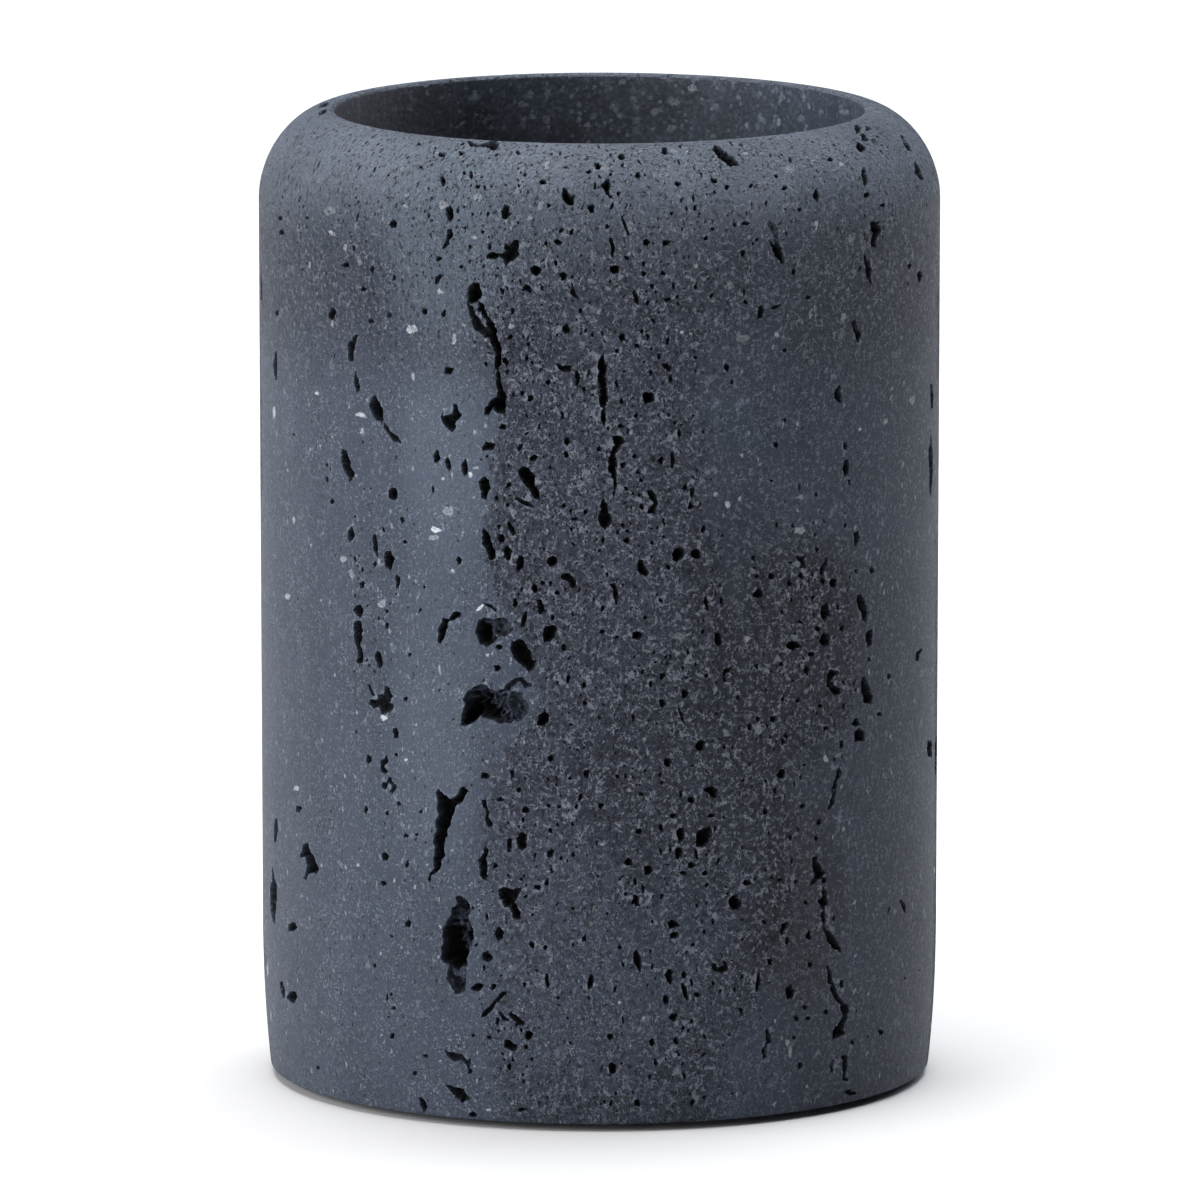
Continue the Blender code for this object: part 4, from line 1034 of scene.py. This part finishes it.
def gathered(patches, points, measure):
    """The largest value of a measure that the patches give each point."""
    value = np.zeros(len(points))
    order = np.argsort(points[:, 0])
    across = points[order, 0]
    for patch in patches:
        first, last = np.searchsorted(across, (patch.low[0], patch.high[0]))
        near = order[first:last]
        near = near[(points[near, 1] >= patch.low[1]) & (points[near, 1] <= patch.high[1])]
        if len(near):
            value[near] = np.maximum(value[near], measure(patch, points[near]))
    return value


def triangulated(patches):
    """The unrolled wall in triangles that keep to every rim: its points and faces."""
    points = [tuple(point) for point in plain_grid(patches)]
    edges = []
    for patch in patches:
        first, count = len(points), len(patch.rim)
        points += [tuple(point) for point in patch.rim]
        points += [tuple(point) for point in patch.inner]
        edges += [(first + k, first + (k + 1) % count) for k in range(count)]
    flat, _, faces, *_ = delaunay_2d_cdt([Vector(p) for p in points], edges, [], 0, 1e-5, False)
    return np.array([tuple(p) for p in flat]), faces


def rolled_up(flat, pores):
    """Places on the body of the unrolled wall's points, with every pore sunk into it."""
    depth = gathered(pores, flat, Pore.depth_at)
    for k in np.nonzero(depth > 0)[0]:
        spot = Vector((*flat[k], 0))
        depth[k] *= 1 + 0.45 * noise.noise(spot * 1.4) + 0.3 * noise.noise(spot * 4)
    depth = np.minimum(depth, DEEPEST)
    angle = flat[:, 0] / UNROLLED
    radius = outline.at(outline.radius, flat[:, 1]) - depth * outline.at(outline.out, flat[:, 1])
    height = outline.at(outline.height, flat[:, 1]) - depth * outline.at(outline.up, flat[:, 1])
    return list(np.array([radius * np.sin(angle), -radius * np.cos(angle), BASE_Z + height]).T)


def sewn(flat, faces):
    """The faces with the points on the seam's right side replaced by those on its left side."""
    left = {round(flat[k, 1], 4): k for k in np.nonzero(flat[:, 0] < -HALF_TURN + NEAR)[0]}
    right = np.nonzero(flat[:, 0] > HALF_TURN - NEAR)[0]
    same = {int(k): int(left[round(flat[k, 1], 4)]) for k in right}
    return [tuple(same.get(k, k) for k in face) for face in faces]


def carry(mesh, flat, used, pores, found):
    """Give the mesh what its materials read from point to point."""
    edge = np.zeros(len(flat))
    edge[gathered(pores, flat, Pore.rim_at) > 0] = 1
    carried = {
        "edge": edge,
        "pore_shade": gathered(pores, flat, Pore.pore_shade_at),
        "fleck": gathered(found, flat, Fleck.pale_at),
        "rough": roughness_at(flat),
        "warmth": warmth_at(flat),
        "wall_shade": patch_value(flat, SHADE_PLACES),
        "painted_light": patch_value(flat, LIT_PLACES),
    }
    for name, values in carried.items():
        values = [values[k] if k < len(flat) else 0 for k in used]
        mesh.attributes.new(name, "FLOAT", "POINT").data.foreach_set("value", values)


def stone_skin():
    """The whole stone body as one closed mesh, with every pore sunk into it."""
    pores, found = stone_patches(random.Random(SEED))
    flat, faces = triangulated(pores + found)
    places = rolled_up(flat, pores)
    faces = sewn(flat, faces)
    in_bore = flat[:, 1] > outline.lip_end - BORE_START
    finish = [int(all(in_bore[k] for k in face)) for face in faces]

    fillet_centre = MOUTH_RADIUS - BORE_TAPER - FLOOR_FILLET
    floor = [(fillet_centre + FLOOR_FILLET * math.cos(t), FLOOR_Z + FLOOR_FILLET * (1 - math.sin(t)))
             for t in quarter_turn(FLOOR_ROWS)[1:]]
    floor += [(fillet_centre * share, FLOOR_Z) for share in FLOOR_RINGS]
    close_with_rings(places, faces, row_at(flat, outline.reach[-1]), floor, FLOOR_Z, False)
    finish += [1] * (len(faces) - len(finish))
    ceiling = [(RECESS_RADIUS, RECESS_DEPTH * share) for share in RECESS_RINGS]
    ceiling += [(RECESS_RADIUS * share, RECESS_DEPTH) for share in CEILING_RINGS]
    close_with_rings(places, faces, row_at(flat, 0), ceiling, RECESS_DEPTH, True)
    finish += [0] * (len(faces) - len(finish))

    used = sorted({k for face in faces for k in face})
    number = {k: n for n, k in enumerate(used)}
    mesh = bpy.data.meshes.new("stone_body")
    mesh.from_pydata([tuple(places[k] * MM) for k in used], [],
                     [tuple(number[k] for k in face) for face in faces])
    mesh.polygons.foreach_set("material_index", finish)
    carry(mesh, flat, used, pores, found)
    mesh.shade_smooth()
    mesh.set_sharp_from_angle(angle=CREASE)
    mesh.validate()
    made = bpy.data.objects.new("stone_body", mesh)
    bpy.context.scene.collection.objects.link(made)
    return made


def row_at(flat, y):
    """Points of one edge of the unrolled wall in order round the body, each side of the seam once."""
    row = [k for k in np.nonzero(np.abs(flat[:, 1] - y) < NEAR)[0] if flat[k, 0] < HALF_TURN - NEAR]
    return sorted(row, key=lambda k: flat[k, 0])


def close_with_rings(places, faces, edge, rings, height, upward):
    """Carry a round edge on through rings of (radius, height) and close it at the axis."""
    angles = [math.atan2(places[k][0], -places[k][1]) for k in edge]
    row = [int(k) for k in edge]
    count = len(row)
    for radius, level in rings:
        first = len(places)
        for angle in angles:
            x, y = radius * math.sin(angle), -radius * math.cos(angle)
            places.append(np.array([x, y, BASE_Z + level]))
        fresh = list(range(first, first + count))
        for k in range(count):
            after = (k + 1) % count
            quad = (row[k], row[after], fresh[after], fresh[k])
            faces.append(quad[::-1] if upward else quad)
        row = fresh
    places.append(np.array([0, 0, BASE_Z + height]))
    middle = len(places) - 1
    for k in range(count):
        tip = (row[k], row[(k + 1) % count], middle)
        faces.append(tip[::-1] if upward else tip)


class Signal:
    """A value, vector or colour on its way through a material's nodes."""

    def __init__(self, tree, socket=None):
        self.tree = tree
        self.socket = socket

    def node(self, kind, settings=(), inputs=(), output=0):
        """Add a node: its settings come first, then its sockets, by name or number."""
        made = self.tree.nodes.new(kind)
        for name, value in dict(settings).items():
            setattr(made, name, value)
        for name, value in dict(inputs).items():
            if isinstance(value, Signal):
                self.tree.links.new(value.socket, made.inputs[name])
            else:
                made.inputs[name].default_value = value
        return Signal(self.tree, made.outputs[output])

    def math(self, operation, first, second):
        return self.node("ShaderNodeMath", {"operation": operation}, {0: first, 1: second})

    def __add__(self, other):
        return self.math("ADD", self, other)

    def __radd__(self, other):
        return self.math("ADD", other, self)

    def __sub__(self, other):
        return self.math("SUBTRACT", self, other)

    def __rsub__(self, other):
        return self.math("SUBTRACT", other, self)

    def __mul__(self, other):
        return self.math("MULTIPLY", self, other)

    def __rmul__(self, other):
        return self.math("MULTIPLY", other, self)

    def __abs__(self):
        return self.math("ABSOLUTE", self, 0)

    def __pow__(self, other):
        return self.math("POWER", self, other)

    def at_least(self, other):
        return self.math("MAXIMUM", self, other)

    def ramp(self, low, high, start=0.0, end=1.0):
        """Rise smoothly from start to end as the value goes from low to high."""
        inputs = {"Value": self, "From Min": low, "From Max": high, "To Min": start, "To Max": end}
        return self.node("ShaderNodeMapRange", {"interpolation_type": "SMOOTHSTEP"}, inputs)

    def stretched(self, scale):
        """A vector scaled on each axis."""
        return self.node("ShaderNodeVectorMath", {"operation": "MULTIPLY"}, {0: self, 1: scale})

    def shifted(self, other):
        """A vector moved by another."""
        return self.node("ShaderNodeVectorMath", {"operation": "ADD"}, {0: self, 1: other})

    def axis(self, name):
        """One of a vector's three values."""
        return self.node("ShaderNodeSeparateXYZ", (), {0: self}, name)

    def grain(self, size, detail=2.0, roughness=0.5):
        """Noise from 0 to 1 whose lumps are about one size across."""
        return self.node("ShaderNodeTexNoise", (),
                         {"Vector": self, "Scale": 1 / size, "Detail": detail, "Roughness": roughness})

    def cells(self, size):
        """Scattered cells: the distance to each one's middle, and a chance of its own from 0 to 1."""
        inputs = {"Vector": self, "Scale": 1 / size}
        distance = self.node("ShaderNodeTexVoronoi", (), inputs, "Distance")
        colour = distance.beside("Color")
        return distance, self.node("ShaderNodeSeparateColor", (), {0: colour})

    def beside(self, output):
        """Another output of the node that this signal comes from."""
        return Signal(self.tree, self.socket.node.outputs[output])

    def blend(self, first, second):
        """Mix two colours, with this value as the share of the second."""
        return self.node("ShaderNodeMix", {"data_type": "RGBA"}, {0: self, 6: first, 7: second}, 2)

    def carried(self, name):
        """A value that the mesh carries from point to point."""
        return self.node("ShaderNodeAttribute", {"attribute_name": name}, output="Fac")

    def bump(self, strength, distance, below=None):
        inputs = {"Height": self, "Strength": strength, "Distance": distance}
        if below:
            inputs["Normal"] = below
        return self.node("ShaderNodeBump", (), inputs)


def new_finish(name):
    """A blank material, its shader's sockets, and its place in millimetres as a signal."""
    made = bpy.data.materials.new(name)
    made.use_nodes = True
    tree = made.node_tree
    shader = tree.nodes["Principled BSDF"]
    start = Signal(tree)
    where = start.node("ShaderNodeTexCoord", output="Object").stretched((1 / MM, 1 / MM, 1 / MM))
    return made, shader, where


def feed(shader, **sockets):
    """Join signals to the shader, or set its own sockets; an underscore stands for a space."""
    tree = shader.id_data
    for name, value in sockets.items():
        socket = shader.inputs[name.replace("_", " ")]
        if isinstance(value, Signal):
            tree.links.new(value.socket, socket)
        else:
            socket.default_value = value


def tone(red, green, blue):
    """A colour picked as the eye sees it, in steps of 255, made linear."""
    def linear(step):
        share = step / 255
        return share / 12.92 if share < 0.04045 else ((share + 0.055) / 1.055)**2.4
    return (linear(red), linear(green), linear(blue), 1)


def grains(where, size, rarity, spread, ragged=0.6):
    """Scattered grains: 1 inside one, fading out at its edge, and how strong each one is."""
    jog = where.grain(size * 0.3, 2).stretched((size * ragged,) * 3)
    distance, chance = where.shifted(jog).cells(size)
    there = distance.ramp(spread, spread * 0.6) * chance.ramp(rarity, rarity + 0.02)
    return there * chance.ramp(rarity, 1, 0.3, 1)


# Far-off places of the noise, so that one layer doesn't repeat another
HUE_SHIFT, BREAK_SHIFT, PATCHY_SHIFT, SPREAD_SHIFT = (0, 57, 0), (17, 0, 0), (31, 0, 0), (5, 0, 0)
# Heights between which painted light from above makes the rough shoulder paler, between which it makes
# the crest paler, and between which grit thickens
ROUGH_TOP_LIGHT_HEIGHTS, CREST_HEIGHTS, GRIT_HEIGHTS = (88, 106), (94, 107), (74, 94)


def bare_stone(where, rough, height):
    """Colour of the stone: blue-grey where honed, duller where rough, paler towards the crest with
    painted light from above, and with patches of painted shade and painted light.
    """
    cloud = where.stretched((1, 1, 0.4)).grain(6, 3).ramp(0.3, 0.7)
    mottle = where.grain(1.8, 4, 0.6)
    honed = cloud.blend(tone(49, 56, 70), tone(56, 63, 78))
    crumbled = mottle.ramp(0.36, 0.62).blend(tone(45, 48, 61), tone(62, 66, 81))
    ground = rough.blend(honed, crumbled)
    # painted light from above: the rough shoulder and the crest are painted paler
    top_light_on_rough = height.ramp(*ROUGH_TOP_LIGHT_HEIGHTS) * rough * 0.7
    top_light = top_light_on_rough.at_least(height.ramp(*CREST_HEIGHTS))
    ground = top_light.blend(ground, tone(110, 119, 134))
    hue = where.shifted(HUE_SHIFT).grain(8, 2).ramp(0.4, 0.62)
    ground = (hue * 0.25).blend(ground, tone(44, 57, 68))
    # painted shade: darker patches of the wall, most of them on the right of the front
    ground = (where.carried("wall_shade") * 0.4).blend(ground, tone(24, 26, 35))
    # painted light: paler patches left of the middle of the front
    ground = (where.carried("painted_light") * 0.4).blend(ground, tone(96, 109, 124))
    return (where.carried("warmth") * 0.13).blend(ground, tone(56, 50, 54))


def with_pale_grains(ground, where, pale, patchy, spread):
    """The stone with its pale crumbs, partly pale grit and partly a painted highlight on the raised
    relief, its salt and its larger grains and flecks of pale mineral.
    """
    ground = pale.blend(ground, tone(154, 162, 178))
    salt = where.grain(0.26, 2, 0.6)
    # fewer grains show where shade is painted
    sparse = 1 - where.carried("wall_shade") * 0.45
    salted = salt.ramp(0.57, 0.68) * patchy.ramp(0.35, 0.6, 0.2, 0.85) * spread * sparse
    ground = salted.blend(ground, tone(126, 134, 149))
    ground = (grains(where, 0.62, 0.3, 0.22) * 0.5).blend(ground, tone(134, 142, 156))
    upright = grains(where.stretched((1, 1, 0.7)), 1.3, 0.5, 0.17)
    ground = (upright * 0.8).blend(ground, tone(150, 158, 171))
    dashes = grains(where.stretched((1.3, 1.3, 0.45)), 1.2, 0.55, 0.17) * patchy.ramp(0.42, 0.56)
    ground = (dashes * 0.8).blend(ground, tone(146, 155, 170))
    soft = grains(where, 3.4, 0.5, 0.18) * salt.ramp(0.35, 0.6, 0.3, 1)
    ground = (soft * 0.6).blend(ground, tone(120, 130, 146))
    inside = where.grain(0.3, 3, 0.7).ramp(0.35, 0.6, 0.55, 1)
    return (where.carried("fleck") * inside).blend(ground, tone(205, 210, 218))


def pinholes(where, grit, spread):
    """Pores too fine for the mesh, as spots of painted shade: in the grit, in upright streaks, and
    sparse where it is honed.
    """
    pits = grains(where.stretched((1, 1, 0.8)), 0.8, 0.22, 0.27, 1.1) * grit.ramp(0.2, 0.8)
    streak = where.stretched((1, 1, 0.12)).grain(2.6, 2).ramp(0.47, 0.56).at_least(grit * 0.7)
    pits = pits.at_least(grains(where.stretched((1, 1, 0.7)), 0.62, 0.45, 0.24, 0.9) * streak)
    sparse = grains(where.stretched((1, 1, 0.75)), 1.2, 0.3, 0.15, 0.9)
    return pits.at_least(sparse * spread.ramp(0.6, 1, 0.3, 1))


def stone_finish():
    """Porous stone: honed and blue-grey where it is smooth, darker and crumbling where it is rough,
    with painted shade in its pores and crevices and a painted highlight on its raised relief.
    """
    made, shader, where = new_finish("honed_stone")
    rough = (where.carried("rough") + where.grain(0.7, 3) * 0.9 - 0.45).ramp(0.2, 0.8)
    height = where.axis("Z")
    ground = bare_stone(where, rough, height)

    grit = rough.at_least(height.ramp(*GRIT_HEIGHTS) * 0.85)
    tooth = where.stretched((1, 1, 0.8)).grain(0.45, 4, 0.75) - 0.5
    ridge = abs(where.grain(0.75, 3, 0.6) - 0.5).ramp(0.07, 0.0)
    broken = where.shifted(BREAK_SHIFT).grain(0.6, 2).ramp(0.44, 0.56)
    patchy = where.shifted(PATCHY_SHIFT).grain(1.6, 4, 0.72)
    spread = where.shifted(SPREAD_SHIFT).grain(5, 3, 0.6).ramp(0.38, 0.62, 0.4, 1.1)
    # pale crumbs of grit, with a painted highlight where the relief stands up
    crumb_and_highlight = ridge * broken * patchy.ramp(0.38, 0.6, 0.45, 1)
    pale = crumb_and_highlight.at_least(tooth.ramp(0.1, 0.2) * patchy.ramp(0.42, 0.6))
    pale = pale * grit.ramp(0, 1, 0.32, 0.95)
    ground = with_pale_grains(ground, where, pale, patchy, spread)

    # painted shade in the low parts of the relief and in the fine pores
    crevice = tooth.ramp(-0.055, -0.12) * grit
    pits = pinholes(where, grit, spread)
    ground = (crevice * 0.8).at_least(pits).blend(ground, tone(8, 9, 12))
    # painted highlight: a pale line along the rims of the pores
    edge = where.carried("edge")**12 * broken * (rough * 0.3 + 0.25)
    ground = edge.blend(ground, tone(150, 158, 173))
    # painted shade inside the pores, broken up by the relief
    pore_shade = where.carried("pore_shade")
    pore_shade = pore_shade + pore_shade * (1 - pore_shade) * (tooth * 6)
    ground = pore_shade.blend(ground, tone(3, 3, 4))

    relief = (tooth * 2.2 + crumb_and_highlight * 1.5) * grit.ramp(0, 1, 0.25, 1) - pits * 0.6
    dull = rough.ramp(0, 1, 0.5, 0.72).at_least(pore_shade.ramp(0, 0.3))
    feed(shader, Base_Color=ground, Roughness=dull, Normal=relief.bump(1, 0.0004),
         Specular_IOR_Level=0.2)
    return made


def bore_finish():
    """The honed wall of the bore, with larger and softer flecks and hardly a pore, with painted shade
    deeper down and painted light on its left and right sides.
    """
    made, shader, where = new_finish("bore_stone")
    cloud = where.grain(5, 4, 0.65).ramp(0.35, 0.65)
    ground = cloud.blend(tone(44, 48, 56), tone(58, 63, 74))
    across = where.axis("X")
    height = across.beside("Z")
    # painted shade: darker deeper down the bore
    ground = height.ramp(101, 92, 0, 0.35).blend(ground, tone(32, 34, 41))
    # painted light: paler on the bore's left, paler and bluer on its right
    ground = across.ramp(-14, -27, 0, 0.85).blend(ground, tone(98, 98, 104))
    ground = across.ramp(2, 26, 0, 0.5).blend(ground, tone(56, 68, 84))
    salt = where.grain(0.5, 4, 0.7)
    ground = (salt.ramp(0.5, 0.66) * 0.55).blend(ground, tone(88, 95, 108))
    ground = (salt.ramp(0.46, 0.34) * 0.5).blend(ground, tone(28, 31, 38))
    dull = where.stretched((0.8, 0.8, 1)).grain(0.35, 2).ramp(0.3, 0.6, 0.35, 1)
    ground = (grains(where, 0.9, 0.3, 0.34) * dull * 0.7).blend(ground, tone(112, 120, 134))
    ground = (grains(where, 1.7, 0.35, 0.3) * dull * 0.7).blend(ground, tone(108, 116, 130))
    ground = (grains(where, 3.2, 0.4, 0.26) * dull * 0.6).blend(ground, tone(116, 124, 138))
    ground = (where.carried("fleck") * dull * 0.8).blend(ground, tone(165, 171, 182))
    feed(shader, Base_Color=ground, Roughness=salt.ramp(0.3, 0.8, 0.65, 0.55),
         Normal=salt.bump(0.4, 0.0003), Specular_IOR_Level=0.3)
    return made


def foam_finish():
    """Closed-cell foam of the pad: near black, with a fine skin of cells."""
    made, shader, where = new_finish("pad_foam_cells")
    cells, _ = where.cells(0.45)
    speck = where.grain(1.2, 3)
    ground = speck.ramp(0.3, 0.7).blend(tone(38, 39, 41), tone(50, 51, 54))
    ground = cells.ramp(0.1, 0.5).blend(tone(30, 31, 33), ground)
    feed(shader, Base_Color=ground, Roughness=speck.ramp(0.2, 0.8, 0.95, 0.8),
         Normal=cells.bump(0.5, 0.00012))
    return made


def film_finish():
    """Adhesive film: cloudy amber with small bubbles."""
    made, shader, where = new_finish("film_glue")
    cloud = where.grain(6, 3)
    ground = cloud.ramp(0.3, 0.7).blend(tone(196, 186, 150), tone(214, 205, 172))
    bubbles = grains(where, 1.8, 0.6, 0.2)
    ground = (bubbles * 0.5).blend(ground, tone(228, 222, 198))
    feed(shader, Base_Color=ground, Roughness=cloud.ramp(0.3, 0.7, 0.35, 0.55),
         Normal=bubbles.bump(0.3, 0.0001))
    return made


def floor_finish():
    """Pale seamless studio floor."""
    made, shader, where = new_finish("pale_floor")
    cloud = where.grain(900, 2)
    feed(shader, Base_Color=cloud.ramp(0.2, 0.8).blend(tone(220, 220, 221), tone(224, 224, 225)),
         Roughness=0.9)
    return made


# Lights by name, place and size in metres, power, and colour where it isn't white
LIGHTS = (
    ("key", (-1.15, -0.58, 0.42), (1.6, 0.9), 22.5),
    ("top", (0, 0.25, 1.8), (1.6, 2.6), 66),
    ("rim", (0.9, 0.6, 1.0), (0.9, 0.9), 6.5, (0.84, 0.92, 1)),
    ("back", (-1.0, 0.7, 0.5), (0.9, 0.9), 1.6),
)
WORLD_STRENGTH = 0.01
FLOOR_HALF = 6.0  # half the floor's side in metres
SIGHT_END = 50  # how far the camera sees, in metres


def studio():
    """Floor, camera and lights."""
    mesh = bpy.data.meshes.new("studio_floor")
    corners = [(x * FLOOR_HALF, y * FLOOR_HALF, 0) for x, y in ((-1, -1), (1, -1), (1, 1), (-1, 1))]
    mesh.from_pydata(corners, [], [(0, 1, 2, 3)])
    floor = bpy.data.objects.new("studio_floor", mesh)
    bpy.context.scene.collection.objects.link(floor)
    mesh.materials.append(floor_finish())

    lens = bpy.data.cameras.new("camera")
    lens.lens = LENS
    lens.sensor_width = SENSOR
    lens.shift_x = (PHOTO_PIXELS / 2 - AXIS_PIXEL) / PHOTO_PIXELS
    lens.clip_end = SIGHT_END
    camera = bpy.data.objects.new("camera", lens)
    camera.location = (0, -CAMERA_DISTANCE * MM, (CAMERA_RISE + BASE_Z) * MM)
    camera.rotation_euler = (math.pi / 2 - CAMERA_PITCH, 0, 0)
    bpy.context.scene.collection.objects.link(camera)
    bpy.context.scene.camera = camera

    for name, *rest in LIGHTS:
        soft_light(name, *rest)
    world = bpy.data.worlds.new("studio")
    world.use_nodes = True
    sky = world.node_tree.nodes["Background"]
    sky.inputs["Color"].default_value = (1, 1, 1, 1)
    sky.inputs["Strength"].default_value = WORLD_STRENGTH
    bpy.context.scene.world = world
    bpy.context.scene.view_settings.view_transform = "Standard"


def soft_light(name, place, size, power, colour=(1, 1, 1)):
    """A soft light, so wide and so tall, that faces the middle of the body."""
    lamp = bpy.data.lights.new(name, "AREA")
    lamp.shape = "RECTANGLE"
    lamp.size, lamp.size_y = size
    lamp.energy = power
    lamp.color = colour
    made = bpy.data.objects.new(name, lamp)
    made.location = place
    aim = Vector((0, 0, BODY_HEIGHT / 2 * MM)) - Vector(place)
    made.rotation_euler = aim.to_track_quat("-Z", "Y").to_euler()
    bpy.context.scene.collection.objects.link(made)


def dress(node, finish):
    """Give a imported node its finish."""
    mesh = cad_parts[node].data
    mesh.materials.clear()
    mesh.materials.append(finish)


studio()
stone = stone_skin()
stone.data.materials.append(stone_finish())
stone.data.materials.append(bore_finish())
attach(stone, "root")
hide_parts("tumbler_body")
dress("pad_adhesive", film_finish())
dress("base_pad", foam_finish())
